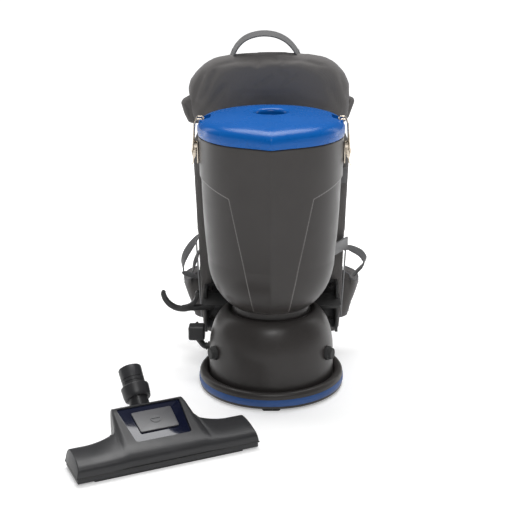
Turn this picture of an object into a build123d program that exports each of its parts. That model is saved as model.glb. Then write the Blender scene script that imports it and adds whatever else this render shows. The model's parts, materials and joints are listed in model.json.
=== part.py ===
from build123d import *
from math import acos, cos, exp, radians, sin
import os

# Backpack vacuum cleaner with its turbo floor tool. Millimetres, +Z up.
# Origin: centre of the round base, on the floor. -Y is the side with the creased nose,
# +Y is the side that the wearer's back rests on, -X is the side with the cord hook.

# ---------------------------------------------------------------- driving dimensions
WALL = 3.0                      # moulded shells
CLEAR = 0.4                     # gap between pieces that move past each other

# tub: a rounded belly below, then a wall that widens slowly towards the rim
TUB_FLOOR = 154
BELLY_Z, BELLY_R = 240, 110     # where the rounded part ends, and its radius there
BELLY_DEPTH = 105               # height over which the rounded part would close
FLARE, FLARE_REACH = 11, 95     # how much the wall widens, and how soon
RIM = 451
TUB_LEVELS = [154, 158, 163, 169, 177, 187, 200, 218, 240, 275, 320, 380, 451]
COLLAR_STEP = 2.5               # how far the collar and tie panel stand out
COLLAR_LOW = 383                # lower edge of the collar at the sides and back
NOSE_TOP, NOSE_LOW = 1.10, 1.05  # crease distance over radius, at the rim and at the floor
SUCTION_R = 30

# lid: (height, radius, crease distance)
LID_SECTIONS = [(452.5, 122.8, 135), (460, 124.2, 136.5), (468, 123.8, 135),
                (475.5, 118, 127), (481, 108, 114.5), (486, 82, 84)]
LID_TOP = 490
HOSE_R = 26.5                   # hose cuff bore
CUFF_DEPTH = 35

# motor housing and base
HOUSING_FOOT = 20
HOUSING_R = 110.5
NECK_R = 67
DECK_TOP = TUB_FLOOR
BASE_R = 127.5

# motor
SHAFT_R = 4.0
FAN_R = 54

# harness, all measured from the back plate
PLATE_Y = 128
PLATE_T = 5
PAD_Y = PLATE_Y + PLATE_T
PAD_T = 26
YOKE_Y = 131
YOKE_T = 44
WEB_T = 3                       # webbing thickness

# latches
PIVOT_X, PIVOT_Z = 128.5, 434   # lever pivot
BAIL_ARM = 9                    # lever pivot to bail pivot
BAIL_LEAN = 20                  # degrees outward from straight down
WIRE_R = 1.3
WIRE_Y = 12.5                   # half the width of the bail
HOOK_X, HOOK_Z = 113.5, 475.5   # crossbar of the bail
LUG_HALF = 11

# floor tool, in its own frame: x along its length, y back from its front edge
TOOL_AT = (-152.8, -321.6)
TOOL_YAW = 24.6
TOOL_L = 286
TOOL_DEPTH = 68
HUMP_HALF = 61
HUMP_BACK = 120
SPLIT_Z = 12
ROLL_Y, ROLL_Z = 28, 16
TURBINE_Y, TURBINE_Z = 84, 31
KNUCKLE_Y, KNUCKLE_Z = 138.5, 30
WHEEL_X, WHEEL_Y = 50, 102.5
NECK_RISE = 43                  # degrees above the floor
NECK_OD, NECK_BORE = 36, 31.8


# ---------------------------------------------------------------- helpers
def save(name, *shapes):
    """Write one node: a solid, or a group of separate solids."""
    solids = [solid for shape in shapes for solid in shape.solids()]
    export_step(solids[0] if len(solids) == 1 else Compound(solids), f"parts/{name}.step")


def both_sides(shape):
    """A right-hand piece and its left-hand twin."""
    return [shape, mirrored(shape)]


def disc(r, z0, z1, x=0, y=0):
    return Pos(x, y, (z0 + z1) / 2) * Cylinder(r, z1 - z0)


def tube(r_in, r_out, z0, z1, x=0, y=0):
    return disc(r_out, z0, z1, x, y) - disc(r_in, z0 - 1, z1 + 1, x, y)


def block(x0, x1, y0, y1, z0, z1):
    return Pos((x0 + x1) / 2, (y0 + y1) / 2, (z0 + z1) / 2) * Box(x1 - x0, y1 - y0, z1 - z0)


def turned(*points):
    """Solid of revolution about Z from a closed outline of (radius, height)."""
    return revolve(Plane.XZ * make_face(Polyline(*points, close=True)), Axis.Z)


def upright(outline, y0, y1):
    """Extrude a face drawn in (x, z) from y0 to y1."""
    return Pos(0, y1, 0) * extrude(Plane.XZ * outline, y1 - y0)


def sideways(outline, x0, x1):
    """Extrude a face drawn in (y, z) from x0 to x1."""
    return Pos(x0, 0, 0) * extrude(Plane.YZ * outline, x1 - x0)


def level(outline, z0, z1):
    """Extrude a face drawn in (x, y) from z0 to z1."""
    return Pos(0, 0, z0) * extrude(outline, z1 - z0)


def band(points, thickness):
    """A face of even thickness along a smooth line."""
    return trace(Spline(*points), thickness)


def pin(r, x, y0, y1, z):
    """Round pin along Y."""
    return Pos(x, (y0 + y1) / 2, z) * Rot(90, 0, 0) * Cylinder(r, y1 - y0)


def cross_pin(r, x0, x1, y, z):
    """Round pin along X."""
    return Pos((x0 + x1) / 2, y, z) * Rot(0, 90, 0) * Cylinder(r, x1 - x0)


def around(shape, count, start=0):
    """Copies of a shape set round the axis."""
    return [Rot(0, 0, start + 360 * i / count) * shape for i in range(count)]


def mirrored(shape):
    return mirror(shape, about=Plane.YZ)


def nose_face(r, crease, z):
    """Circle of radius r, drawn out by two tangent lines to a crease at the front."""
    swing = acos(r / crease)
    left = (-r * sin(swing), -r * cos(swing))
    right = (r * sin(swing), -r * cos(swing))
    outline = [ThreePointArc(right, (0, r), left), Line(left, (0, -crease)),
               Line((0, -crease), right)]
    return Pos(0, 0, z) * make_face(outline)


def tub_radius(z):
    if z < BELLY_Z:
        return BELLY_R * (1 - ((BELLY_Z - z) / BELLY_DEPTH) ** 2) ** 0.4
    return BELLY_R + FLARE * (1 - exp(-(z - BELLY_Z) / FLARE_REACH))


def tub_form(offset):
    """The tub's whole outer form, grown by an offset."""
    faces = []
    for z in TUB_LEVELS:
        share = (z - TUB_FLOOR) / (RIM - TUB_FLOOR)
        crease = tub_radius(z) * (NOSE_LOW + (NOSE_TOP - NOSE_LOW) * share)
        faces.append(nose_face(tub_radius(z) + offset, crease + offset, z))
    return loft(faces, ruled=True)


# ---------------------------------------------------------------- tub and lid
def tub_shell():
    tie = [(-130, RIM), (-130, COLLAR_LOW), (-118, 382.5), (-111, 380), (-95, 373.5),
           (-68.5, 363.6), (-46.5, 256), (-37, 205.5), (-29, 158),
           (29, 158), (37, 205.5), (46.5, 256), (68.5, 363.6), (95, 373.5),
           (111, 380), (118, 382.5), (130, COLLAR_LOW), (130, RIM)]
    front = upright(make_face(Polyline(*tie, close=True)), -200, 0)
    collar = block(-200, 200, -200, 200, COLLAR_LOW, RIM)
    raised = tub_form(COLLAR_STEP) & (front + collar)
    cavity = tub_form(-WALL) & block(-200, 200, -200, 200, TUB_FLOOR + WALL, RIM)
    return tub_form(0) + raised - cavity - disc(SUCTION_R, TUB_FLOOR - 1, TUB_FLOOR + 9)


def lid_form(offset):
    faces = [nose_face(r + offset, crease + offset, z) for z, r, crease in LID_SECTIONS]
    z, r, crease = LID_SECTIONS[-1]
    cap = [Pos(0, 0, z) * Circle(r + offset - 1), Pos(0, 0, LID_TOP) * Circle(HOSE_R + 12)]
    return loft(faces) + loft(cap)


def lid():
    shell = lid_form(0) - Pos(0, 0, -WALL) * lid_form(-WALL)
    shell -= disc(116, LID_SECTIONS[0][0] - 6, LID_SECTIONS[0][0] + 6)
    spigot = tube(111, 114.5, RIM - 12, LID_SECTIONS[0][0] + 9)
    ledge = tube(113, 121.5, LID_SECTIONS[0][0], LID_SECTIONS[0][0] + 3.5)
    cuff = tube(HOSE_R, HOSE_R + WALL, LID_TOP - CUFF_DEPTH, LID_TOP)
    whole = shell + spigot + ledge + cuff
    for side in (1, -1):
        pocket = block(min(side * 101, side * 140), max(side * 101, side * 140), -16.5, 16.5,
                       466, 500)
        wall_in = block(min(side * 98, side * 101), max(side * 98, side * 101), -19.5, 19.5,
                        464, 482)
        floor = block(min(side * 101, side * 121), max(side * 101, side * 121), -19.5, 19.5,
                      463, 466)
        cheeks = [block(min(side * 98, side * 112), max(side * 98, side * 112),
                        min(y * 16.5, y * 19.5), max(y * 16.5, y * 19.5), 463, 477)
                  for y in (1, -1)]
        lug = block(min(side * 104, side * 115.2), max(side * 104, side * 115.2),
                    -LUG_HALF, LUG_HALF, 465, HOOK_Z - WIRE_R - CLEAR)
        whole = whole - pocket + wall_in + floor + cheeks[0] + cheeks[1] + lug
    return whole - disc(HOSE_R, 400, 520)


def lid_gasket():
    return tube(116.3, 120.8, RIM + 0.3, LID_SECTIONS[0][0])


def filter_bag():
    body = tub_form(-WALL - 9) & block(-200, 200, -200, 200, TUB_FLOOR + 28, RIM - 22)
    mouth = disc(HOSE_R + 5, RIM - 30, RIM - 6)
    hollow = tub_form(-WALL - 10.5) & block(-200, 200, -200, 200, TUB_FLOOR + 30, RIM - 24)
    return body - hollow + mouth - disc(HOSE_R + 3.5, RIM - 60, RIM)


def bag_collar():
    return tube(HOSE_R + 3.5, HOSE_R + 28, RIM - 6, RIM - 3)


def dome_filter():
    outer = disc(55, TUB_FLOOR + WALL, TUB_FLOOR + 20)
    outer = fillet(outer.faces().sort_by(Axis.Z)[-1].edges(), 10)
    return outer - disc(48, TUB_FLOOR, TUB_FLOOR + 14)


# ---------------------------------------------------------------- latches (right side)
def bail_pivot():
    lean = radians(BAIL_LEAN)
    return PIVOT_X + BAIL_ARM * sin(lean), PIVOT_Z - BAIL_ARM * cos(lean)


def latch_base():
    back = block(122.7, 124.3, -13, 13, 404, 441)
    ears = []
    for y in (9.6, -10.6):
        ear = block(124, PIVOT_X, y, y + 1, PIVOT_Z - 3.6, PIVOT_Z + 3.6)
        ears.append(ear + pin(3.6, PIVOT_X, y, y + 1, PIVOT_Z))
    axle = pin(1.5, PIVOT_X, -10.8, 10.8, PIVOT_Z)
    return back + ears[0] + ears[1] + axle - tub_form(COLLAR_STEP)


def latch_lever():
    face = block(130.4, 131.9, -9.2, 9.2, 405, PIVOT_Z + 3.5)
    flare = Polyline((130.4, 405.2), (133.6, 398.5), (135.0, 399.2), (131.9, 405.6), close=True)
    flare = upright(make_face(flare), -9.2, 9.2)
    px, pz = bail_pivot()
    lever = face + flare
    for y in (8.0, -9.2):
        cheek = make_face(Polyline((126.0, PIVOT_Z + 2.4), (131, PIVOT_Z + 3.5), (134.2, pz + 1),
                                   (134.2, pz - 3), (131, 409), (127, 415), close=True))
        lever += upright(cheek, y, y + 1.2)
    lever -= pin(1.56, PIVOT_X, -20, 20, PIVOT_Z)
    return lever - pin(WIRE_R + 0.06, px, -20, 20, pz)


def latch_bail():
    """Wire loop: two legs and a crossbar that drops behind the lid's lug."""
    px, pz = bail_pivot()
    legs = []
    for y in (WIRE_Y, -WIRE_Y):
        inward = -1 if y > 0 else 1
        path = FilletPolyline((px, y + inward * 5.5, pz), (px, y, pz), (128.6, y, 470),
                              (124.5, y, 478.6), (116, y, 478.6), (HOOK_X, y, HOOK_Z),
                              (HOOK_X, 0, HOOK_Z), radius=[2.2, 9, 3.4, 2.2, 1.8])
        start = Plane(origin=path @ 0, z_dir=path % 0)
        legs.append(sweep(start * Circle(WIRE_R), path))
    return legs[0] + legs[1]


# ---------------------------------------------------------------- motor housing and base
def housing_outline():
    shoulder = Spline((70, 139.5), (75, 142), (81, 140.5), (98, 121.5), (106.5, 97),
                      (109.5, 69), tangents=[(1, 0.4), (0, -1)], tangent_scalars=[1, 1])
    return [Line((0, DECK_TOP), (NECK_R, DECK_TOP)), Line((NECK_R, DECK_TOP), (NECK_R + 1, 140)),
            Line((NECK_R + 1, 140), (70, 139.5)), shoulder,
            Line((109.5, 69), (HOUSING_R, HOUSING_FOOT)),
            Line((HOUSING_R, HOUSING_FOOT), (0, HOUSING_FOOT)),
            Line((0, HOUSING_FOOT), (0, DECK_TOP))]


def housing_form():
    return revolve(Plane.XZ * make_face(housing_outline()), Axis.Z)


def motor_housing():
    inside = turned((0, 0), (107.5, 0), (106.5, 69), (103.5, 96), (95.5, 119.5), (86, 131.5),
                    (77, 137.5), (64, 136), (64, 151), (0, 151))
    return housing_form() - inside - disc(SUCTION_R, 140, 160)


def base_ring():
    bead = [Line((98, 17), (BASE_R, 17)), Line((BASE_R, 17), (BASE_R, 24.5)),
            ThreePointArc((BASE_R, 24.5), (120, 31.5), (112.5, 25)),
            Line((112.5, 25), (111, 20)), Line((111, 20), (98, 20)), Line((98, 20), (98, 17))]
    ring = revolve(Plane.XZ * make_face(bead), Axis.Z)
    for boss in around(disc(5, 7, 17, x=104), 4, 45):
        ring += boss
    for hole in around(disc(2, 5, 16, x=104), 4, 45):
        ring -= hole
    return ring


def blue_band():
    edge = [Line((118, 7), (126.3, 7)), ThreePointArc((126.3, 7), (127.8, 12), (126.3, 17)),
            Line((126.3, 17), (118, 17)), Line((118, 17), (118, 7))]
    return revolve(Plane.XZ * make_face(edge), Axis.Z)


def base_plate():
    plate = turned((0, 3), (123, 3), (125.5, 5.5), (125.5, 7), (118, 7), (118, 17), (114, 17),
                   (114, 7), (0, 7))
    slot = Pos(66, 0, 5) * Box(16, 3.5, 10)
    for cut in around(slot, 36):
        plate -= cut
    for hole in around(disc(2, 0, 10, x=104) + disc(4.2, 0, 5, x=104), 4, 45):
        plate -= hole
    return plate


def base_screws():
    return around(disc(4, 3.4, 5, x=104) + disc(2, 5, 16, x=104), 4, 45)


def base_feet():
    """Four rubber feet near the edge, and a round one under the middle."""
    foot = Pos(110, 0, 1.5) * Box(14, 31, 3)
    return around(fillet(foot.edges().filter_by(Axis.Z), 5), 4, -90) + [disc(13, 0, 3)]


def side_bumpers():
    knobs = []
    for angle in (-90 - 63, -90 + 63):
        collar = Pos(109.5, 0, 75) * Rot(0, 90, 0) * Cylinder(12.5, 9)
        face = Pos(114, 0, 75) * Rot(0, 90, 0) * Cylinder(10, 12)
        face = fillet(face.edges().sort_by(Axis.X)[-1], 1.5)
        knobs.append(Rot(0, 0, angle) * (collar + face) - housing_form())
    return knobs


# ---------------------------------------------------------------- motor
def fan_case():
    return tube(0, 61, 105, 145) - disc(59, 108, 142.5) - disc(22, 141, 146) - disc(10, 104, 109)


def motor_gasket():
    return tube(SUCTION_R, 60, 145, 151)


def motor_frame():
    sleeve = tube(40, 43, 50, 105)
    bracket = tube(10, 43, 44, 50)
    vents = around(Pos(28, 0, 47) * Box(14, 6, 10), 8)
    for vent in vents:
        bracket -= vent
    return sleeve + bracket


def stator():
    core = tube(26, 40, 64, 98)
    for slot in around(Pos(27, 0, 81) * Box(8, 5, 40), 2):
        core -= slot
    return core


def motor_bearings():
    return [tube(SHAFT_R + 0.03, 10, 44, 50), tube(SHAFT_R + 0.03, 10, 105, 108)]


def motor_brushes():
    brush = block(12.3, 30, -3.5, 3.5, 54, 60)
    arm = block(30, 39.8, -3.5, 3.5, 54, 60)
    return around(brush + arm, 2)


def motor_rotor():
    shaft = disc(SHAFT_R, 40, 139)
    armature = disc(24.5, 66, 96)
    for slot in around(Pos(24, 0, 81) * Box(6, 2, 40), 12):
        armature -= slot
    return shaft + armature + disc(12, 53, 61)


def fan_impeller():
    wheel = tube(SHAFT_R, FAN_R, 118, 120) + tube(SHAFT_R, 10, 118, 134)
    blade = band([(9, 0), (26, 6), (42, 4), (52, -6)], 1.6)
    for vane in around(level(blade, 119.5, 132), 8):
        wheel += vane
    return wheel - disc(SHAFT_R, 100, 140)


def motor_cradle():
    ring = turned((43.2, 50), (43.2, 58), (50, 58), (50, 11), (60, 11), (60, 7), (36, 7),
                  (36, 43.8), (46, 43.8), (46, 50))
    return ring


def exhaust_filter():
    pleats = tube(80, 97, 7, 40)
    for groove in around(Pos(98.5, 0, 24) * Rot(0, 0, 45) * Box(5, 5, 60), 60):
        pleats -= groove
    return pleats


# ---------------------------------------------------------------- cord inlet, hook, brackets
def inlet_boot():
    path = FilletPolyline((-106, 20, 58), (-121, 20, 60), (-133, 20, 77), radius=8)
    start = Plane(origin=path @ 0, z_dir=path % 0)
    boot = sweep(start * Circle(5.5), path) + Pos(-111, 20, 58.6) * Rot(0, 90, 0) * Cylinder(9, 6)
    boot += Pos(-116.5, 20, 59.3) * Rot(0, 90, 0) * Cylinder(6.8, 2)
    return boot - housing_form()


def inlet_plug():
    body = block(-148, -119, 7, 33, 74, 100)
    body = fillet(body.edges(), 4)
    for z in (79, 82, 85):
        body -= block(-150, -147.2, 0, 40, z, z + 1.2)
    for x in (-141, -129):
        body += block(x, x + 1.5, 32, 49, 82, 89)
    body += Pos(-134.6, 40.5, 93) * Rot(90, 0, 0) * Cylinder(2.3, 17)
    return body - inlet_boot()


def cord_hook():
    """Cradle for the wound extension lead: a long prong, a short prong and a root."""
    arm = trace([Line((-104, 119.5), (-150, 117)),
                 ThreePointArc((-150, 117), (-184, 124), (-196, 146))], 8)
    prong = trace([ThreePointArc((-163, 117.3), (-143, 125), (-134, 146))], 7)
    tips = [Pos(-196, 146) * Circle(4), Pos(-134, 146) * Circle(3.5)]
    return upright(arm + prong + tips[0] + tips[1], 56, 68)


def lower_bracket_left():
    shelf = block(-127, -62, 56, PLATE_Y, 118, 124)
    shelf = fillet(shelf.edges().filter_by(Axis.Z), 6)
    web = sideways(make_face(Polyline((100, 55), (PLATE_Y, 55), (PLATE_Y, 141), (92, 141),
                                      (92, 92), close=True)), -124, -119)
    flange = block(-124, -90, PLATE_Y - 4, PLATE_Y, 55, 141)
    whole = shelf + web + flange - pin(5, -112, 120, 140, 132) - pin(5, -112, 120, 140, 75)
    return whole - housing_form() - tub_form(0) - cord_hook()


def lower_bracket_right():
    shelf = block(62, 127, 56, PLATE_Y, 118, 124)
    shelf = fillet(shelf.edges().filter_by(Axis.Z), 6)
    web = sideways(make_face(Polyline((100, 55), (PLATE_Y, 55), (PLATE_Y, 150), (92, 150),
                                      (92, 92), close=True)), 119, 124)
    flange = block(90, 124, PLATE_Y - 4, PLATE_Y, 55, 150)
    whole = shelf + web + flange - pin(5, 112, 120, 140, 138) - pin(5, 112, 120, 140, 75)
    return whole - housing_form() - tub_form(0)


def upper_bracket():
    saddle = block(-45, 45, 95, PLATE_Y, 404, 440)
    saddle -= block(-37, 37, 90, PLATE_Y - 4, 410, 434)
    return saddle - tub_form(COLLAR_STEP)


# ---------------------------------------------------------------- harness frame and pads
def plate_outline(bottom, top, grow, corner):
    side = [(133, 117), (139, 226), (143, 370)]
    pts = [(x + grow, z) for x, z in side]
    x_low, x_high = pts[0][0] - 6, pts[-1][0] - 2
    right = [(x_low, bottom)] + pts + [(x_high, top)]
    left = [(-x, z) for x, z in reversed(right)]
    face = make_face(Polyline(*right, *left, close=True))
    return fillet(face.vertices().filter_by(lambda v: v.Y in (bottom, top)), corner)


def back_plate():
    return upright(plate_outline(60, 436, -22, 18), PLATE_Y, PAD_Y)


def back_pad():
    pad = upright(plate_outline(34, 436, 0, 25), PAD_Y, PAD_Y + PAD_T)
    return fillet(pad.faces().sort_by(Axis.Y)[-1].edges(), 8)


def lumbar_pad():
    pad = upright(Pos(0, 118) * RectangleRounded(215, 112, 30), PAD_Y + PAD_T, PAD_Y + PAD_T + 18)
    return fillet(pad.faces().sort_by(Axis.Y)[-1].edges(), 8)


def yoke_outline():
    crown = Spline((143, 494), (137, 509), (126, 529), (100, 553), (52, 566), (-9, 569),
                   (-60, 565), (-105, 553), (-130, 531), (-142, 511), (-146, 492))
    rest = Polyline((-146, 492), (-160, 484), (-164, 477), (-158, 457), (-150, 441),
                    (-146, 437), (138, 437), (141, 450), (145, 463), (151, 479), (149, 486),
                    (143, 494))
    return make_face([crown, rest])


def yoke_cover():
    pad = upright(yoke_outline(), YOKE_Y, YOKE_Y + YOKE_T)
    return pad


def carry_loop():
    line = Spline((-71, 560), (-71, 573), (-62, 585), (-45, 600), (-16, 607), (10, 600),
                  (37, 590), (50, 573), (52, 560))
    loop = upright(trace(line, WEB_T), 142, 167)
    return loop - yoke_cover()


def shoulder_strap():
    line = [(YOKE_Y + YOKE_T + 6, 535), (205, 541), (232, 522), (247, 475), (250, 420),
            (243, 365), (228, 318)]
    strap = sideways(band(line, 13), 30, 98)
    return strap - yoke_cover()


def strap_webbing():
    line = [(225, 312), (214, 285), (198, 245), (182, 205), (168, 184)]
    web = sideways(band(line, 2.4), 51, 77)
    return web - shoulder_strap() - back_pad() - lumbar_pad() - ladder_lock()


def ladder_lock():
    frame = Pos(64, 222, 305) * Rot(25, 0, 0) * (Box(38, 7, 26) - Pos(0, 0, 6) * Box(28, 9, 5)
                                                 - Pos(0, 0, -6) * Box(28, 9, 5))
    return frame - shoulder_strap()


def hip_wing():
    """Padded wing that leaves the pad's edge, turns outward and then round the hip."""
    line = Spline((122, 166), (146, 160), (160, 172), (166, 200), (158, 240), (140, 272))
    wing = level(trace(line, 12), 62, 160)
    wing -= back_pad() + lumbar_pad()
    below = Polyline((140, 50), (152, 62), (158, 66), (166, 82), (200, 84), (262, 91),
                     (290, 91), (290, 50), close=True)
    above = Polyline((140, 170), (152, 160), (158, 157), (172, 144), (200, 142), (262, 129),
                     (290, 129), (290, 170), close=True)
    return wing - sideways(make_face(below), 60, 200) - sideways(make_face(above), 60, 200)


def belt_webbing():
    line = Spline((141, 273), (112, 291), (75, 300), (37, 302))
    web = level(trace(line, 2.4), 91, 129)
    return web - hip_wing()


def buckle_socket():
    body = block(0.5, 37, 295, 309, 88, 132)
    body = fillet(body.edges().filter_by(Axis.Z), 5)
    body -= block(-1, 26, 298, 306, 95, 125)
    return body - block(4, 18, 292, 312, 87, 94) - block(4, 18, 292, 312, 126, 133)


def buckle_prongs():
    stem = fillet(block(-37, -0.5, 295, 309, 88, 132).edges().filter_by(Axis.Z), 5)
    middle = block(-2, 20, 299, 305, 106, 114)
    arms = [block(-2, 22, 299, 305, 97, 101), block(-2, 22, 299, 305, 119, 123)]
    return stem + middle + arms[0] + arms[1]


def side_loop_right():
    line = Spline((136, 204), (155, 200.5), (170, 193), (175.5, 181), (168, 165), (154, 150))
    loop = upright(trace(line, WEB_T), 141, 155)
    return loop - back_pad() - hip_wing()


def side_loop_left():
    outer = Spline((-137, 223), (-149, 209), (-160, 193), (-166, 175), (-166, 158))
    inner = Spline((-136, 196), (-143, 176), (-148, 156))
    foot = Spline((-168, 154), (-153, 151), (-136, 147))
    loop = upright(trace(outer, WEB_T) + trace(inner, WEB_T) + trace(foot, WEB_T), 141, 155)
    return loop - back_pad() - mirrored(hip_wing())


def rail_clip():
    return fillet(block(124, 137, 120, PAD_Y - 0.5, 336, 363).edges().filter_by(Axis.Y), 3)


def tub_strap():
    """Short webbing keeper from the tub's side to the right rail."""
    strap = level(trace(Line((92, 50), (141, PAD_Y + 1)), WEB_T), 209, 231)
    return strap - tub_form(0) - back_pad() - back_plate()


# ---------------------------------------------------------------- floor tool
def placed(shape):
    return Pos(*TOOL_AT, 0) * Rot(0, 0, TOOL_YAW) * shape


def tool_bar(grow, low):
    profile = Polyline((-grow, low), (-grow, 22), (8, 28 + grow), (30, 35 + grow),
                       (61, 34 + grow), (TOOL_DEPTH + grow, 27), (TOOL_DEPTH + grow, low),
                       close=True)
    half = TOOL_L / 2 + grow
    return sideways(make_face(profile), -half, half)


def tool_hump(grow, low):
    profile = Polyline((2 - grow, low), (2 - grow, 24), (28, 38 + grow), (104, 60 + grow),
                       (112, 60 + grow), (HUMP_BACK + grow, 50), (HUMP_BACK + grow, low),
                       close=True)
    half = HUMP_HALF + grow
    return sideways(make_face(profile), -half, half)


def slanted(shape, y, z):
    """Lay a flat plate in the plane of the hump's sloping top."""
    return Pos(0, y, z) * Rot(16, 0, 0) * shape


def pane(inset, thick):
    """Flat trapezium, wider at the back, that the window and its recess share."""
    back, front, half = 53 - inset, 45 - inset, 41 - inset
    outline = Polyline((-back, half), (back, half), (front, -half), (-front, -half), close=True)
    return extrude(make_face(outline), thick / 2, both=True)


def tool_body():
    shell = tool_bar(0, SPLIT_Z) + tool_hump(0, SPLIT_Z)
    shell -= tool_bar(-WALL, SPLIT_Z - 1) + tool_hump(-WALL, SPLIT_Z - 1)
    shell -= slanted(Pos(0, 0, 0.5) * pane(0, 5), 67, 49.3)
    shell += slanted(Pos(0, 0, -3) * (pane(-4, 2.5) - pane(6, 4)), 67, 49.3)
    for side in (1, -1):
        x0, x1 = (27, 34) if side > 0 else (-34, -27)
        ear = block(x0, x1, HUMP_BACK - 4, KNUCKLE_Y, 16, 44)
        shell += ear + cross_pin(14, x0, x1, KNUCKLE_Y, KNUCKLE_Z)
    return shell - cross_pin(4.02, -60, 60, KNUCKLE_Y, KNUCKLE_Z)


def tool_sole():
    plate = block(-TOOL_L / 2 + 1.5, TOOL_L / 2 - 1.5, 1.5, TOOL_DEPTH - 1, 2, SPLIT_Z)
    plate += block(-HUMP_HALF + 1, HUMP_HALF - 1, 20, HUMP_BACK - 1, 4, SPLIT_Z)
    plate = chamfer(plate.faces().sort_by(Axis.Z)[0].edges(), 1)
    plate -= block(-128, 128, 11, 46, 0, 20)
    plate -= block(-TOOL_L / 2 + 5, TOOL_L / 2 - 5, 5, TOOL_DEPTH - 5, 8, 20)
    plate -= block(-52, 52, 30, HUMP_BACK - 4, 8, 20)
    plate -= block(-57, 57, WHEEL_Y - 4, WHEEL_Y + 4, 5, 20)
    for x in (-WHEEL_X, WHEEL_X):
        plate -= block(x - 6.5, x + 6.5, WHEEL_Y - 10.5, WHEEL_Y + 10.5, 0, 20)
    for x in (-38, 34):
        saddle = block(x, x + 4, WHEEL_Y - 5, WHEEL_Y + 5, 4, 13)
        plate += saddle - cross_pin(2.55, x - 1, x + 5, WHEEL_Y, 9)
    return plate


def tool_glides():
    bar = block(-120, 120, 2.5, 6.5, 0, 2)
    pads = [block(x - 9, x + 9, 57, 62, 0, 2) for x in (-110, 110)]
    return [bar] + pads


def tool_window():
    return slanted(pane(0.3, 2), 67, 48.6)


def tool_panel():
    panel = slanted(Pos(0, 3, 1.9) * Box(64, 46, 1.6), 67, 48.6)
    ring = slanted(Pos(0, 3, 3) * (Cylinder(9, 0.8) - Cylinder(7.5, 2)), 67, 48.6)
    bar = slanted(Pos(0, 3, 3) * Box(14, 1.6, 0.8), 67, 48.6)
    return panel + ring + bar


def tool_turbine():
    wheel = cross_pin(7, -30, 30, TURBINE_Y, TURBINE_Z)
    vane = Pos(0, TURBINE_Y, TURBINE_Z + 9) * Box(52, 1.6, 12)
    for i in range(10):
        turn = Pos(0, TURBINE_Y, TURBINE_Z) * Rot(36 * i, 0, 0) * Pos(0, -TURBINE_Y, -TURBINE_Z)
        wheel += turn * vane
    return wheel + cross_pin(3, -38, 41, TURBINE_Y, TURBINE_Z)


def bearing_block(x0, x1, y, z, bore):
    seat = block(x0, x1, y - 7, y + 7, 8.2, z) + cross_pin(7, x0, x1, y, z)
    return seat - cross_pin(bore, x0 - 1, x1 + 1, y, z)


def tool_bearings():
    blocks = [bearing_block(x0, x0 + 5, TURBINE_Y, TURBINE_Z, 3.04) for x0 in (-37, 32)]
    ends = [bearing_block(x0, x0 + 5, ROLL_Y, ROLL_Z, 3.04) for x0 in (-134, 129)]
    return blocks + ends


def tool_belt():
    """Toothed belt from the turbine shaft to the brush roll, as one flat loop."""
    def loop(grow):
        ends = [Pos(ROLL_Y, ROLL_Z) * Circle(6 + grow),
                Pos(TURBINE_Y, TURBINE_Z) * Circle(4.2 + grow)]
        return sideways(make_hull(ends[0].edges() + ends[1].edges()), 42, 46)
    return loop(1.4) - loop(0)


def tool_brush_roll():
    roll = cross_pin(9, -126, 126, ROLL_Y, ROLL_Z) + cross_pin(3, -133.8, 133.8, ROLL_Y, ROLL_Z)
    return roll - (cross_pin(12, 41, 47, ROLL_Y, ROLL_Z) - cross_pin(5.6, 40, 48, ROLL_Y, ROLL_Z))


def tool_bristles():
    """Two rows of tufts wound once round the roll."""
    tufts = []
    count = 24
    for i in range(count):
        x = -118 + 236 * i / (count - 1)
        if 38 < x < 50:
            continue
        for start in (0, 180):
            turn = Pos(x, ROLL_Y, ROLL_Z) * Rot(start + 300 * i / count, 0, 0)
            tufts.append(turn * Pos(0, 0, 11.9) * Box(5, 3, 5.2))
    roll = cross_pin(9, -126, 126, ROLL_Y, ROLL_Z)
    return [tuft - roll for tuft in tufts]


def tool_wheels():
    wheels = [cross_pin(9, x - 4.5, x + 4.5, WHEEL_Y, 9) for x in (-WHEEL_X, WHEEL_X)]
    return wheels[0] + wheels[1] + cross_pin(2.5, -WHEEL_X, WHEEL_X, WHEEL_Y, 9)


def neck_place(shape):
    """Stand a shape drawn up the Z axis on the knuckle, leaning back."""
    return Pos(0, KNUCKLE_Y, KNUCKLE_Z) * Rot(-(90 - NECK_RISE), 0, 0) * shape


def neck_knuckle():
    barrel = cross_pin(14, -26.5, 26.5, 0, 0)
    socket = disc(NECK_OD / 2 - 1.5, 0, 34) + disc(NECK_OD / 2, 24, 32)
    body = barrel + socket - cross_pin(4.05, -30, 30, 0, 0) - disc(12, 9, 40)
    return neck_place(body)


def neck_tube():
    outer = disc(NECK_OD / 2, 34, 84) + disc(NECK_OD / 2 + 1.2, 58, 84)
    outer -= tube(NECK_OD / 2, NECK_OD, 61, 62.4) + tube(NECK_OD / 2, NECK_OD, 65, 66.4)
    return neck_place(outer - disc(12, 30, 50) - disc(NECK_BORE / 2, 46, 90))


def knuckle_pin():
    return cross_pin(4, -34, 34, KNUCKLE_Y, KNUCKLE_Z)


# ---------------------------------------------------------------- write every node
os.makedirs("parts", exist_ok=True)

for word, twin in (("right", 0), ("left", 1)):
    save(f"latch_lever_{word}", both_sides(latch_lever())[twin])
    save(f"latch_bail_{word}", both_sides(latch_bail())[twin])

save("latch_bases", *both_sides(latch_base()))
save("shoulder_straps", *both_sides(shoulder_strap()))
save("strap_webbing", *both_sides(strap_webbing()))
save("ladder_locks", *both_sides(ladder_lock()))
save("hip_wings", *both_sides(hip_wing()))
save("belt_webbing", *both_sides(belt_webbing()))
save("filter_bag", filter_bag(), bag_collar())
save("tub_brackets", lower_bracket_left(), lower_bracket_right(), upper_bracket())
save("side_loops", side_loop_left(), side_loop_right())
save("rail_keepers", rail_clip(), tub_strap())

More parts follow.
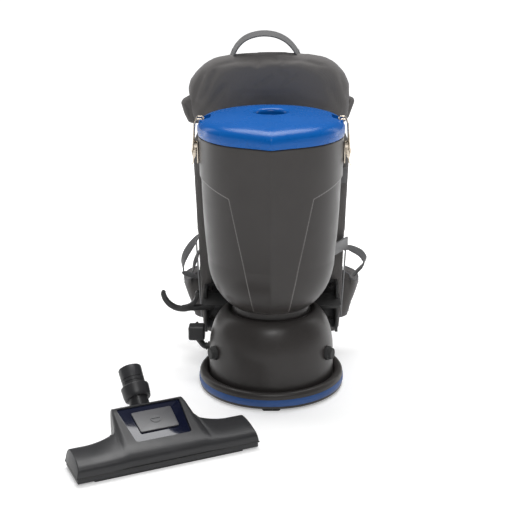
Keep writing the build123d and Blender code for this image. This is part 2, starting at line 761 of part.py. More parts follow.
SINGLE = [tub_shell, lid, lid_gasket, dome_filter, motor_housing, base_ring, blue_band,
          base_plate, fan_case, motor_gasket, motor_frame, stator, motor_rotor, fan_impeller,
          motor_cradle, exhaust_filter, inlet_boot, inlet_plug, cord_hook, back_plate,
          back_pad, lumbar_pad, yoke_cover, carry_loop, buckle_socket, buckle_prongs]
for build in SINGLE:
    save(build.__name__, build())

for build in (base_screws, base_feet, side_bumpers, motor_bearings, motor_brushes):
    save(build.__name__, *build())

TOOL = [tool_body, tool_sole, tool_window, tool_panel, tool_turbine, tool_belt,
        tool_brush_roll, tool_wheels, neck_knuckle, neck_tube, knuckle_pin]
for build in TOOL:
    save(build.__name__, placed(build()))
for build in (tool_glides, tool_bearings, tool_bristles):
    save(build.__name__, *[placed(piece) for piece in build()])
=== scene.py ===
import json
from math import cos, exp, pi, radians, sin

import bmesh
import bpy
import numpy as np
from mathutils import Matrix, Vector


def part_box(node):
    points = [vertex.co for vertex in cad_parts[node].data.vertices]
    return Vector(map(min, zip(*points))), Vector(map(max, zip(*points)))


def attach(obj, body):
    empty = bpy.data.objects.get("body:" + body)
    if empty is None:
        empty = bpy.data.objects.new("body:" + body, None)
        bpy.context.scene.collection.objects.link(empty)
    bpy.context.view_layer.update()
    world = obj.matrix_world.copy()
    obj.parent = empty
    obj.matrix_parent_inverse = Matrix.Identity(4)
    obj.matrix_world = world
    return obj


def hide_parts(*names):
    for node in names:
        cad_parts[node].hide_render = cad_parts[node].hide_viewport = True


# Backpack vacuum cleaner and its floor tool. Blender units are metres; MM turns millimetres into them.
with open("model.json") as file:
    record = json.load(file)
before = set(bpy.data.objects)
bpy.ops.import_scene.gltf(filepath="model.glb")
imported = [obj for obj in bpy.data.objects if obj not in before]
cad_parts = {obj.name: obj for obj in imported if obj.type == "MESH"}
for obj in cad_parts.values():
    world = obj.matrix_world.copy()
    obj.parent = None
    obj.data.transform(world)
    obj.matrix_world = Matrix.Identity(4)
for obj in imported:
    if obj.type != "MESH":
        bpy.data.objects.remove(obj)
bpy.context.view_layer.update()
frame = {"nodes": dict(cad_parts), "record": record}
NODES = frame["nodes"]
MM = 0.001


# ------------------------------------------------------------------ small maths
def smoothstep(t):
    t = np.clip(t, 0, 1)
    return t * t * (3 - 2 * t)


def curve_points(points, steps=10, closed=False):
    """A smooth line through the given points (Catmull-Rom), steps points to a span."""
    p = np.array(points, float)
    ends = (p[-1], p[0], p[1]) if closed else (2 * p[0] - p[1], 2 * p[-1] - p[-2], None)
    if closed:
        q = np.vstack([ends[0], p, ends[1], ends[2]])
    else:
        q = np.vstack([ends[0], p, ends[1]])
    out = []
    for a, b, c, d in zip(q, q[1:], q[2:], q[3:]):
        for t in np.linspace(0, 1, steps, endpoint=False):
            out.append(0.5 * (2 * b + (c - a) * t + (2 * a - 5 * b + 4 * c - d) * t * t
                              + (3 * b - a - 3 * c + d) * t ** 3))
    if not closed:
        out.append(p[-1])
    return np.array(out)


def line_distance(p, line, closed=False):
    """Distance from each 2-D point to a polyline, and how far along it the nearest point is, 0 to 1."""
    a = np.array(line, float)
    b = np.roll(a, -1, 0) if closed else a[1:]
    a = a if closed else a[:-1]
    best = np.full(len(p), 1e9)
    along = np.zeros(len(p))
    for i, (s, e) in enumerate(zip(a, b)):
        d = e - s
        t = np.clip(((p - s) @ d) / max(d @ d, 1e-12), 0, 1)
        dist = np.linalg.norm(p - (s + t[:, None] * d), axis=1)
        near = dist < best
        best = np.where(near, dist, best)
        along = np.where(near, (i + t) / len(a), along)
    return best, along


def inside(p, outline):
    """Which 2-D points lie inside a closed outline."""
    a = np.array(outline, float)
    b = np.roll(a, -1, 0)
    odd = np.zeros(len(p), bool)
    for (x0, y0), (x1, y1) in zip(a, b):
        if y0 == y1:
            continue
        crosses = ((y0 > p[:, 1]) != (y1 > p[:, 1]))
        odd ^= crosses & (p[:, 0] < (x1 - x0) * (p[:, 1] - y0) / (y1 - y0) + x0)
    return odd


# ------------------------------------------------------------------ materials
class Shader:
    """A Principled material with short calls for the nodes that shape its finish."""

    def __init__(self, name, color, rough, metal=0.0, **sockets):
        self.mat = bpy.data.materials.new(name)
        self.mat.use_nodes = True
        self.tree = self.mat.node_tree
        self.bsdf = self.tree.nodes["Principled BSDF"]
        self.bsdf.inputs["Base Color"].default_value = (*color, 1)
        self.bsdf.inputs["Roughness"].default_value = rough
        self.bsdf.inputs["Metallic"].default_value = metal
        for key, value in sockets.items():
            self.bsdf.inputs[key.replace("_", " ")].default_value = value
        self.color, self.rough = color, rough
        self.height = None
        coord = self.node("ShaderNodeTexCoord")
        self.place, self.uv = coord.outputs["Object"], coord.outputs["UV"]

    def node(self, kind, links=None, **values):
        made = self.tree.nodes.new(kind)
        for key, value in values.items():
            setattr(made, key, value)
        for key, source in (links or {}).items():
            socket = made.inputs[key]
            if hasattr(source, "is_output"):
                self.tree.links.new(source, socket)
            else:
                socket.default_value = source
        return made

    def noise(self, scale, detail=3.0, rough=0.55, stretch=None):
        place = self.place
        if stretch:
            place = self.node("ShaderNodeMapping", {"Vector": place, "Scale": stretch}).outputs[0]
        links = {"Vector": place, "Scale": scale, "Detail": detail, "Roughness": rough}
        return self.node("ShaderNodeTexNoise", links).outputs["Fac"]

    def wave(self, scale, axis, coords=None, distortion=0.0, profile="SIN"):
        links = {"Vector": coords or self.place, "Scale": scale, "Distortion": distortion}
        return self.node("ShaderNodeTexWave", links, bands_direction=axis,
                         wave_profile=profile).outputs["Fac"]

    def math(self, op, a, b):
        return self.node("ShaderNodeMath", {0: a, 1: b}, operation=op).outputs[0]

    def ramp(self, source, low, high, start=0.0, end=1.0):
        links = {"Value": source, "From Min": low, "From Max": high, "To Min": start, "To Max": end}
        return self.node("ShaderNodeMapRange", links).outputs["Result"]

    def tint(self, factor, color):
        """Mix the base colour towards another one by a factor."""
        links = {"Factor": factor, "A": (*self.color, 1), "B": (*color, 1)}
        mix = self.node("ShaderNodeMix", data_type="RGBA")
        self.tree.links.new(factor, mix.inputs["Factor"])
        socket = self.bsdf.inputs["Base Color"]
        if socket.links:
            self.tree.links.new(socket.links[0].from_socket, mix.inputs[6])
        else:
            mix.inputs[6].default_value = links["A"]
        mix.inputs[7].default_value = links["B"]
        self.tree.links.new(mix.outputs[2], socket)

    def bump(self, source, strength, distance):
        links = {"Height": source, "Strength": strength, "Distance": distance}
        if self.height:
            links["Normal"] = self.height
        self.height = self.node("ShaderNodeBump", links).outputs["Normal"]
        self.tree.links.new(self.height, self.bsdf.inputs["Normal"])

    def vary_rough(self, source, spread):
        value = self.ramp(source, 0.3, 0.7, self.rough - spread, self.rough + spread)
        self.tree.links.new(value, self.bsdf.inputs["Roughness"])

    def attribute(self, name):
        return self.node("ShaderNodeAttribute", attribute_name=name).outputs["Fac"]

    def pointed(self, low, high):
        """1 along worn convex edges, 0 elsewhere."""
        point = self.node("ShaderNodeNewGeometry").outputs["Pointiness"]
        return self.ramp(point, low, high)


def bands(pitch):
    """The Wave texture's scale for one band every pitch metres."""
    return 2 * pi / (20 * pitch)


def scaled(color, factor):
    return tuple(min(1, c * factor) for c in color)


def plastic(name, color, rough, grain=900, depth=0.05, mottle=0.12, edge=None, **sockets):
    """Moulded plastic: spark-eroded grain, faint mottling, uneven gloss and rubbed edges."""
    s = Shader(name, color, rough, **sockets)
    s.tint(s.ramp(s.noise(14, 4), 0.35, 0.7, 0, mottle * 4), scaled(color, 1.25))
    s.tint(s.ramp(s.noise(55, 5, 0.7), 0.62, 0.8, 0, mottle * 2.5), scaled(color, 0.8))
    s.bump(s.noise(grain, 2), depth, 0.0004)
    s.vary_rough(s.noise(24, 4), 0.05)
    if edge:
        s.tint(s.pointed(0.53, 0.6), edge)
    return s


def woven(name, color, rough=0.85, pitch=0.0011, depth=0.5, sheen=0.25):
    """Plain-woven pack cloth, with a slub and a slight fade on the raised parts."""
    s = Shader(name, color, rough, Sheen_Weight=sheen, Sheen_Roughness=0.5)
    s.bsdf.inputs["Sheen Tint"].default_value = (0.8, 0.8, 0.85, 1)
    turns = bands(pitch)
    warp = s.wave(turns, "X", distortion=0.6)
    weft = s.wave(turns, "Z", distortion=0.6)
    side = s.wave(turns, "Y", distortion=0.6)
    cloth = s.math("MAXIMUM", s.math("MAXIMUM", warp, weft), side)
    s.tint(s.ramp(cloth, 0.55, 1.0, 0, 0.3), scaled(color, 1.5))
    s.tint(s.ramp(s.noise(9, 4), 0.45, 0.75, 0, 0.5), scaled(color, 1.3))
    s.tint(s.ramp(s.noise(400, 2, 0.8), 0.6, 0.8, 0, 0.35), scaled(color, 0.6))
    s.bump(cloth, depth, 0.0003)
    s.bump(s.noise(160, 3), 0.25, 0.0006)
    return s


def mesh_cloth(name, color):
    """Spacer mesh with rows of small holes; each hole is painted darker, as painted shade inside it."""
    s = Shader(name, color, 0.9, Sheen_Weight=0.15)
    a = s.wave(bands(0.0045), "X")
    b = s.wave(bands(0.0045), "Z")
    holes = s.math("MULTIPLY", a, b)
    # Painted shade: the holes are darkened as if shaded inside.
    s.tint(s.ramp(holes, 0.45, 0.8, 0, 0.85), scaled(color, 0.25))
    s.bump(s.math("SUBTRACT", 1.0, holes), 0.7, 0.0009)
    s.bump(s.noise(700, 2), 0.2, 0.0003)
    return s


def webbing(name, color):
    """Woven strap. U runs along it and V across it, both in metres."""
    s = Shader(name, color, 0.72, Sheen_Weight=0.2)
    ribs = s.wave(bands(0.0040), "DIAGONAL", s.uv)
    cords = s.wave(bands(0.0030), "Y", s.uv)
    weave = s.math("MULTIPLY", s.ramp(ribs, 0, 1, 0.4, 1), s.ramp(cords, 0, 1, 0.3, 1))
    s.tint(s.ramp(weave, 0.2, 0.9, 0, 0.6), scaled(color, 1.7))
    s.tint(s.ramp(s.noise(30, 3), 0.45, 0.75, 0, 0.3), scaled(color, 0.7))
    s.bump(weave, 0.6, 0.0004)
    return s


def metal(name, color, rough, scratch=60, **sockets):
    s = Shader(name, color, rough, metal=1.0, **sockets)
    s.tint(s.ramp(s.noise(50, 4), 0.45, 0.75, 0, 0.45), scaled(color, 0.72))
    s.vary_rough(s.noise(scratch, 3, 0.7, stretch=(1, 1, 14)), 0.09)
    s.bump(s.noise(scratch * 8, 2, 0.6, stretch=(1, 1, 0.1)), 0.06, 0.0002)
    return s


def rubber(name, color, rough=0.7):
    s = Shader(name, color, rough)
    s.tint(s.ramp(s.noise(20, 4), 0.4, 0.75, 0, 0.5), scaled(color, 1.45))
    s.bump(s.noise(1400, 2), 0.12, 0.0003)
    s.vary_rough(s.noise(35, 3), 0.07)
    return s


SHELL = (0.036, 0.0328, 0.0315)
FINISH = {
    "shell_black": plastic("shell_black", SHELL, 0.36, depth=0.10, Specular_IOR_Level=0.28),
    "lid_blue": plastic("lid_blue", (0.0002, 0.086, 0.34), 0.27, grain=1300, depth=0.03,
                        mottle=0.05, Specular_IOR_Level=0.24),
    "band_blue": rubber("band_blue", (0.012, 0.060, 0.21), 0.5),
    "rubber_black": rubber("rubber_black", (0.022, 0.022, 0.022)),
    "inner_grey": plastic("inner_grey", (0.25, 0.25, 0.25), 0.5),
    "filter_paper": rubber("filter_paper", (0.62, 0.58, 0.50), 0.95),
    "filter_foam": rubber("filter_foam", (0.07, 0.07, 0.075), 0.95),
    "latch_steel": metal("latch_steel", (0.60, 0.53, 0.44), 0.27),
    "steel": metal("steel", (0.62, 0.62, 0.63), 0.25),
    "copper_iron": metal("copper_iron", (0.30, 0.17, 0.10), 0.45),
    "fan_alu": metal("fan_alu", (0.74, 0.74, 0.75), 0.35),
    "bracket_black": plastic("bracket_black", (0.020, 0.020, 0.020), 0.42, depth=0.12),
    "plug_black": rubber("plug_black", (0.019, 0.019, 0.020), 0.48),
    "pad_fabric": woven("pad_fabric", (0.080, 0.075, 0.072)),
    "pad_mesh": mesh_cloth("pad_mesh", (0.040, 0.040, 0.042)),
    "webbing": webbing("webbing", (0.050, 0.050, 0.052)),
    "grey_plastic": plastic("grey_plastic", (0.115, 0.115, 0.118), 0.5),
    "tool_black": plastic("tool_black", (0.026, 0.026, 0.028), 0.38, depth=0.12, Specular_IOR_Level=0.35),
    "tool_panel": plastic("tool_panel", (0.066, 0.066, 0.071), 0.38, depth=0.06),
    "bristle": rubber("bristle", (0.015, 0.015, 0.015), 0.6),
    "turbine_grey": plastic("turbine_grey", (0.32, 0.32, 0.33), 0.45),
}
tub_with_painted_highlight = plastic("tub_with_painted_highlight", SHELL, 0.36, depth=0.10, Specular_IOR_Level=0.28)
# The tub's material paints the step's edge lighter where the edge attribute is high: a painted highlight
# along the collar and tie panel.
tub_with_painted_highlight.tint(tub_with_painted_highlight.attribute("edge"), (0.14, 0.13, 0.125))
FINISH["tub_with_painted_highlight"] = tub_with_painted_highlight
FINISH["piping"] = rubber("piping", (0.20, 0.20, 0.205), 0.6)
thread = Shader("thread", (0.10, 0.10, 0.105), 0.7)
thread.bump(thread.wave(900, "DIAGONAL"), 0.4, 0.0003)
FINISH["thread"] = thread


def clear_window():
    """Tinted clear plastic over the turbine chamber, drawn opaque: its near-black colour is partly the
    tint and partly painted shade of the chamber behind it.
    """
    s = Shader("tool_window", (0.004, 0.006, 0.020), 0.09, Coat_Weight=0.15, Coat_Roughness=0.04,
               Specular_IOR_Level=0.35)
    s.tint(s.ramp(s.noise(25, 3), 0.45, 0.7, 0, 0.5), (0.012, 0.015, 0.035))
    s.bump(s.noise(60, 2), 0.05, 0.0005)
    return s


FINISH["tool_window"] = clear_window()


# ------------------------------------------------------------------ making pieces
def put(mesh_or_obj, name, body, slot, finish=None, replaces=()):
    """Names a piece, gives it its finish, and makes it ride on its body."""
    obj = mesh_or_obj
    if isinstance(mesh_or_obj, bpy.types.Mesh):
        obj = bpy.data.objects.new(name, mesh_or_obj)
        bpy.context.scene.collection.objects.link(obj)
    obj.name = name
    obj.data.materials.clear()
    obj.data.materials.append(FINISH[finish or slot].mat)
    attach(obj, body)
    if replaces:
        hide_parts(*replaces)
    return obj


def as_mesh(name, verts, faces, smooth=40):
    mesh = bpy.data.meshes.new(name)
    mesh.from_pydata([tuple(v) for v in verts], [], [tuple(f) for f in faces])
    mesh.validate()
    shade(mesh, smooth)
    return mesh


def shade(mesh, smooth=40):
    mesh.polygons.foreach_set("use_smooth", [True] * len(mesh.polygons))
    if smooth:
        mesh.set_sharp_from_angle(angle=radians(smooth))
    mesh.update()


def grid(rows, wrap_columns=True, wrap_rows=True):
    """Vertices and quads of a grid of points given as rows x columns x 3."""
    r, c = rows.shape[:2]
    index = np.arange(r * c).reshape(r, c)
    down = np.vstack([index, index[:1]]) if wrap_rows else index
    both = np.hstack([down, down[:, :1]]) if wrap_columns else down
    quads = np.stack([both[:-1, :-1], both[:-1, 1:], both[1:, 1:], both[1:, :-1]], -1)
    return rows.reshape(-1, 3), quads.reshape(-1, 4)


def evaluated(obj):
    """The mesh of an object with its modifiers worked out."""
    bpy.context.view_layer.update()
    deps = bpy.context.evaluated_depsgraph_get()
    return bpy.data.meshes.new_from_object(obj.evaluated_get(deps))


def temporary(mesh):
    obj = bpy.data.objects.new("temp", mesh)
    bpy.context.scene.collection.objects.link(obj)
    return obj


def with_modifiers(mesh, *steps):
    """Applies (kind, settings) modifiers to a mesh."""
    obj = temporary(mesh)
    for kind, settings in steps:
        mod = obj.modifiers.new(kind, kind)
        for key, value in settings.items():
            setattr(mod, key, value)
    out = evaluated(obj)
    bpy.data.objects.remove(obj)
    return out


def combine(mesh, other, operation):
    """Boolean of two meshes."""
    tool = temporary(other)
    out = with_modifiers(mesh, ("BOOLEAN", {"object": tool, "operation": operation,
                                            "solver": "EXACT"}))
    bpy.data.objects.remove(tool)
    return out


def coordinates(mesh):
    co = np.zeros(len(mesh.vertices) * 3)
    mesh.vertices.foreach_get("co", co)
    return co.reshape(-1, 3)


def set_coordinates(mesh, co):
    mesh.vertices.foreach_set("co", np.asarray(co).reshape(-1))
    mesh.update()


def normals(mesh):
    n = np.zeros(len(mesh.vertices) * 3)
    mesh.vertices.foreach_get("normal", n)
    return n.reshape(-1, 3)


def softened(node, width, segments=2, smooth=32, finish=None, angle=32):
    """A carried-over rigid piece with its moulded edges rounded."""
    source = NODES[node]
    bm = bmesh.new()
    bm.from_mesh(source.data)
    bmesh.ops.remove_doubles(bm, verts=bm.verts, dist=2e-6)
    bmesh.ops.dissolve_limit(bm, angle_limit=radians(0.6), verts=bm.verts, edges=bm.edges)
    mesh = bpy.data.meshes.new(node)
    bm.to_mesh(mesh)
    bm.free()
    rounding = {"width": width, "segments": segments, "limit_method": "ANGLE",
                "angle_limit": radians(angle), "use_clamp_overlap": True, "miter_outer": "MITER_ARC"}
    mesh = with_modifiers(mesh, ("BEVEL", rounding))
    shade(mesh, smooth)
    return put(mesh, f"{node}_shape", BODY_OF[node], SLOT_OF[node], finish, [node])


def ribbon(points, width, thickness, across, steps=10, closed=False):
    """A flat strap along a smooth line. across is its width direction, or one for each point."""
    line = curve_points(points, steps, closed)
    tangent = np.gradient(line, axis=0)
    if closed:
        tangent = np.roll(line, -1, 0) - np.roll(line, 1, 0)
    tangent /= np.linalg.norm(tangent, axis=1)[:, None]
    side = np.array(across, float)
    if side.ndim == 2:
        side = curve_points(side, steps, closed)
    else:
        side = np.tile(side, (len(line), 1))
    side -= (side * tangent).sum(1)[:, None] * tangent
    side /= np.linalg.norm(side, axis=1)[:, None]
    up = np.cross(tangent, side)
    w, t = width / 2, thickness / 2
    lip = min(t * 0.8, w * 0.2)
    section = [(-w, 0), (-w + lip * 0.3, t * 0.75), (-w + lip * 1.6, t), (-w * 0.4, t * 0.92),
               (0, t * 0.9), (w * 0.4, t * 0.92), (w - lip * 1.6, t), (w - lip * 0.3, t * 0.75),
               (w, 0), (w - lip * 0.3, -t * 0.75), (w - lip * 1.6, -t), (w * 0.4, -t * 0.92),
               (0, -t * 0.9), (-w * 0.4, -t * 0.92), (-w + lip * 1.6, -t),
               (-w + lip * 0.3, -t * 0.75)]
    rows = np.array([[p + side[i] * a + up[i] * b for a, b in section]
                     for i, p in enumerate(line)])
    verts, faces = grid(rows, True, closed)
    faces = [tuple(f) for f in faces]
    if not closed:
        count = len(section)
        faces.append(tuple(range(count))[::-1])
        faces.append(tuple(range(len(verts) - count, len(verts))))
    mesh = as_mesh("ribbon", verts, faces, 50)
    length = np.concatenate([[0], np.cumsum(np.linalg.norm(np.diff(line, axis=0), axis=1))])
    layer = mesh.uv_layers.new(name="UVMap")
    across_of = [a for a, b in section]
    for loop in mesh.loops:
        row, column = divmod(loop.vertex_index, len(section))
        layer.data[loop.index].uv = (length[row], across_of[column])
    return mesh


def tube(points, radius, steps=10, sides=12, closed=False, smooth_line=True):
    """A round wire or cord along a line, with closed ends."""
    line = curve_points(points, steps, closed) if smooth_line else np.array(points, float)
    tangent = np.roll(line, -1, 0) - np.roll(line, 1, 0) if closed else np.gradient(line, axis=0)
    tangent /= np.linalg.norm(tangent, axis=1)[:, None]
    side = np.cross(tangent[0], (0.31, 0.17, 0.93))
    rows = []
    for p, t in zip(line, tangent):
        side = side - (side @ t) * t
        side /= np.linalg.norm(side)
        up = np.cross(t, side)
        angles = np.linspace(0, 2 * pi, sides, endpoint=False)
        rows.append([p + radius * (cos(a) * side + sin(a) * up) for a in angles])
    verts, faces = grid(np.array(rows), True, closed)
    faces = [tuple(f) for f in faces]
    if not closed:
        faces.append(tuple(range(sides))[::-1])
        faces.append(tuple(range(len(verts) - sides, len(verts))))
    return as_mesh("tube", verts, faces, 50)


def joined(*meshes):
    """Several meshes as one, each keeping its own closed surface."""
    bm = bmesh.new()
    for mesh in meshes:
        bm.from_mesh(mesh)
    out = bpy.data.meshes.new("joined")
    bm.to_mesh(out)
    bm.free()
    shade(out, 50)
    return out


def rounded_box(low, high, radius, segments=3):
    low, high = Vector(low), Vector(high)
    bm = bmesh.new()
    bmesh.ops.create_cube(bm, size=1)
    bmesh.ops.scale(bm, vec=high - low, verts=bm.verts)
    bmesh.ops.translate(bm, vec=(low + high) / 2, verts=bm.verts)
    bmesh.ops.bevel(bm, geom=bm.edges[:], offset=radius, segments=segments, affect="EDGES",
                    profile=0.5)
    mesh = bpy.data.meshes.new("box")
    bm.to_mesh(mesh)
    bm.free()
    shade(mesh, 30)
    return mesh


def stitches(line, step=0.0042, length=0.0028, radius=0.00035, lift=(0, 0, 0)):
    """A run of short thread stitches along a line of points."""
    line = np.array(line, float) + np.array(lift)
    gaps = np.linalg.norm(np.diff(line, axis=0), axis=1)
    at = np.concatenate([[0], np.cumsum(gaps)])
    pieces = []
    for start in np.arange(step / 2, at[-1] - length, step):
        ends = [np.array([np.interp(s, at, line[:, k]) for k in range(3)])
                for s in (start, start + length / 2, start + length)]
        pieces.append(tube(ends, radius, sides=5, smooth_line=False))
    return joined(*pieces)


BODY_OF = {}
for body_name, members in frame["record"]["behaviour"]["bodies"].items():
    for member in members:
        BODY_OF[member] = body_name
SLOT_OF = {s["node"]: s["material_slot"] for s in frame["record"]["subparts"]}
for node_name, node_obj in NODES.items():
    for material_slot in node_obj.material_slots:
        material_slot.material = FINISH[SLOT_OF[node_name]].mat
    if not node_obj.material_slots:
        node_obj.data.materials.append(FINISH[SLOT_OF[node_name]].mat)


# ------------------------------------------------------------------ cloth
def puffed(mesh, voxel=5 * MM, pressure=4.0, cap=8 * MM, stiffness=12.0, frames=20, keep=None):
    """Pads: remesh, let pressure fill the cloth, and keep each point near where it was."""
    rest = with_modifiers(mesh, ("REMESH", {"mode": "VOXEL", "voxel_size": voxel}))
    before = coordinates(rest)
    obj = temporary(rest.copy())
    mod = obj.modifiers.new("Cloth", "CLOTH")
    settings = mod.settings
    settings.quality = 4
    settings.mass = 0.3
    settings.tension_stiffness = stiffness
    settings.compression_stiffness = stiffness
    settings.bending_stiffness = 0.6
    settings.use_pressure = True
    settings.uniform_pressure_force = pressure
    settings.effector_weights.gravity = 0
    mod.point_cache.frame_start, mod.point_cache.frame_end = 1, frames
    for number in range(1, frames + 1):
        bpy.context.scene.frame_set(number)
    after = coordinates(evaluated(obj))
    bpy.data.objects.remove(obj)
    bpy.context.scene.frame_set(1)
    move = after - before
    size = np.linalg.norm(move, axis=1)[:, None]
    move *= np.minimum(1, cap / np.maximum(size, 1e-9))
    filled = before + move
    for axis in (0, 2):              # the sewn outline keeps its size while the pad fills
        spread = np.ptp(before[:, axis]) / np.ptp(filled[:, axis])
        filled[:, axis] = before[:, axis].min() + (filled[:, axis] - filled[:, axis].min()) * spread
    before = filled
    if keep:
        before = keep(before)
    set_coordinates(rest, before)
    smoothed = with_modifiers(rest, ("SMOOTH", {"factor": 0.5, "iterations": 2}),
                              ("SUBSURF", {"levels": 1}))
    shade(smoothed, 0)
    return smoothed


def creased(mesh, folds, plane=(0, 2), facing=None):
    """Presses folds and sewn channels into a pad. Each is (line, half width, depth), in the given
    plane. facing keeps them to the side that looks that way."""
    co, n = coordinates(mesh), normals(mesh)
    flat = co[:, plane]
    shift = np.zeros(len(co))
    for line, half_width, depth in folds:
        dist, along = line_distance(flat, np.array(line) * MM)
        fade = np.clip(np.minimum(along, 1 - along) * 6 + (0.35 if depth > 0 else 0), 0, 1)
        shift -= depth * MM * np.exp(-(dist / (half_width * MM)) ** 2) * fade
    if facing is not None:
        shift *= smoothstep((n @ np.array(facing)) * 2)
    set_coordinates(mesh, co + n * shift[:, None])
    return mesh


# ------------------------------------------------------------------ tub
RIM_Z, FLOOR_Z, COLLAR_Z = 451, 154, 383
WALL = 3.0
STEP = 2.5                       # the collar and tie panel stand out this much
TIE = [(-130, 460), (-130, 383), (-118, 382.5), (-111, 380), (-95, 373.5), (-68.5, 363.6),
       (-46.5, 256), (-37, 205.5), (-29, 158), (29, 158), (37, 205.5), (46.5, 256),
       (68.5, 363.6), (95, 373.5), (111, 380), (118, 382.5), (130, 383), (130, 460)]


def creased_radius(phi, r, crease, soft=0.010):
    """Distance from the axis to a circle drawn out to a crease, phi radians from the front."""
    swing = np.arccos(np.clip(r / np.maximum(crease, r + 1e-6), 0, 1))
    away = np.sqrt(phi ** 2 + soft ** 2)
    return np.where(away < swing, r / np.cos(swing - away), r)


def round_rows(profile, angles):
    """Rows of points round the axis for a list of (radius, crease, z), angles from the front."""
    phi = (angles + pi) % (2 * pi) - pi
    rows = []
    for r, crease, z in profile:
        rho = creased_radius(phi, r, crease)
        rows.append(np.stack([rho * np.sin(phi), -rho * np.cos(phi), np.full_like(phi, z)], -1))
    return np.array(rows)


def tub_radius(z):
    if z < 240:
        return 110 * (1 - ((240 - z) / 105) ** 2) ** 0.4
    return 110 + 11 * (1 - exp(-(z - 240) / 95))


def tub_crease(z):
    return tub_radius(z) * (1.05 + 0.05 * (z - FLOOR_Z) / (RIM_Z - FLOOR_Z))


def tub_piece():
    front = np.radians(np.arange(-105, 105, 0.62))
    back = np.radians(np.arange(105, 255, 2.5))
    angles = np.concatenate([front, back])
    low = [(30.0, 30.0, FLOOR_Z + WALL), (30.0, 30.0, FLOOR_Z), (55.0, 56.0, FLOOR_Z)]
    outer = [(tub_radius(z), tub_crease(z), z) for z in
             np.concatenate([np.linspace(FLOOR_Z, 160, 8), np.arange(161.5, RIM_Z - 1, 1.5)])]
    top, peak = tub_radius(RIM_Z), tub_crease(RIM_Z)
    rim = [(top - 0.3, peak - 0.3, RIM_Z - 0.4), (top - 1, peak - 1, RIM_Z),
           (top - 2, peak - 2, RIM_Z)]
    inner = [(tub_radius(z) - WALL, tub_crease(z) - WALL, z)
             for z in (RIM_Z, 440, 400, 340, 280, 240, 215, 195, 178, 165, 158)]
    inner.append((60.0, 61.0, FLOOR_Z + WALL))
    rows = round_rows(low + outer + rim + inner, angles)
    start, end = len(low), len(low) + len(outer) + 2
    band = rows[start:end].reshape(-1, 3)
    dist, _ = line_distance(band[:, [0, 2]], TIE, closed=True)
    dist = np.where(inside(band[:, [0, 2]], TIE), dist, -dist)
    dist = np.where(band[:, 1] > 0, band[:, 2] - COLLAR_Z, dist)
    raise_by = STEP * smoothstep(dist / 1.7 + 0.5)
    radial = band[:, :2] / np.linalg.norm(band[:, :2], axis=1)[:, None]
    band[:, :2] += radial * raise_by[:, None]
    rows[start:end] = band.reshape(rows[start:end].shape)
    verts, faces = grid(rows * MM)
    mesh = as_mesh("tub", verts, faces[:, ::-1], 60)
    # The edge attribute marks the step's edge for the painted highlight in the tub's material.
    edge = np.zeros(rows.shape[:2])
    edge[start:end] = np.exp(-((dist - 0.3) / 1.1) ** 2).reshape(end - start, -1)
    mesh.attributes.new("edge", "FLOAT", "POINT").data.foreach_set("value", edge.ravel())
    return put(mesh, "tub", "frame", "shell_black", "tub_with_painted_highlight", ["tub_shell"])


tub_piece()


# ------------------------------------------------------------------ lid
LID_TOP, LID_LOW, HOSE_R = 490, 452.5, 26.5
LID_SHOULDER = [(122.8, 135, 452.5), (124.1, 136.3, 458), (124.2, 136.4, 463), (123.3, 134.5, 469),
                (119.8, 129.5, 474.3), (114.5, 122.5, 478.3), (108, 114, 481), (97, 100.5, 483.6),
                (80, 81.2, 486.4), (60, 60.3, 488.8), (45, 45, 489.8), (36.5, 36.5, 490)]
POCKET_X, POCKET_FLOOR, POCKET_HALF = 101, 466, 16.5


def lid_piece():
    angles = np.radians(np.concatenate([np.arange(-40, 40, 0.4), np.arange(40, 320, 1.25)]))
    lip = 7.0                    # the hose hole's rounded mouth
    mouth = [(HOSE_R + lip - lip * cos(a), 0, LID_TOP - lip + lip * sin(a))
             for a in np.linspace(0, pi / 2, 9)]
    profile = [(HOSE_R, 0, 455), (HOSE_R, 0, 470)] + mouth
    shoulder = curve_points(LID_SHOULDER[::-1], 6)
    profile += [tuple(p) for p in shoulder]
    profile += [(122.2, 134.4, 451.9), (121.4, 133.6, 451.8), (114.5, 114.5, 451.8),
                (114.5, 114.5, 440), (113.7, 113.7, 439), (111.8, 111.8, 439),
                (111, 111, 440), (111, 111, 461), (106, 106, 474), (80, 80, 482),
                (36, 36, 486.5), (29.5, 29.5, 485), (29.5, 29.5, 455.5), (29, 29, 455)]
    rows = round_rows([(r, max(c, r), z) for r, c, z in profile], angles)
    verts, faces = grid(rows * MM)
    mesh = as_mesh("lid", verts, faces[:, ::-1], 45)
    for side in (1, -1):
        def span(a, b):
            return sorted((side * a * MM, side * b * MM))
        x0, x1 = span(98, 119.5)
        liner = rounded_box((x0, -19.5 * MM, 462 * MM), (x1, 19.5 * MM, 478.2 * MM), 1 * MM)
        mesh = combine(mesh, liner, "UNION")
        x0, x1 = span(POCKET_X, 140)
        pocket = rounded_box((x0, -POCKET_HALF * MM, POCKET_FLOOR * MM),
                             (x1, POCKET_HALF * MM, 510 * MM), 2.2 * MM)
        mesh = combine(mesh, pocket, "DIFFERENCE")
        x0, x1 = span(103.5, 115.4)
        lug = rounded_box((x0, -11 * MM, 465 * MM), (x1, 11 * MM, 473.75 * MM), 1.2 * MM)
        mesh = combine(mesh, lug, "UNION")
    shade(mesh, 35)
    return put(mesh, "lid_shell", "lid", "lid_blue", replaces=["lid"])


lid_piece()


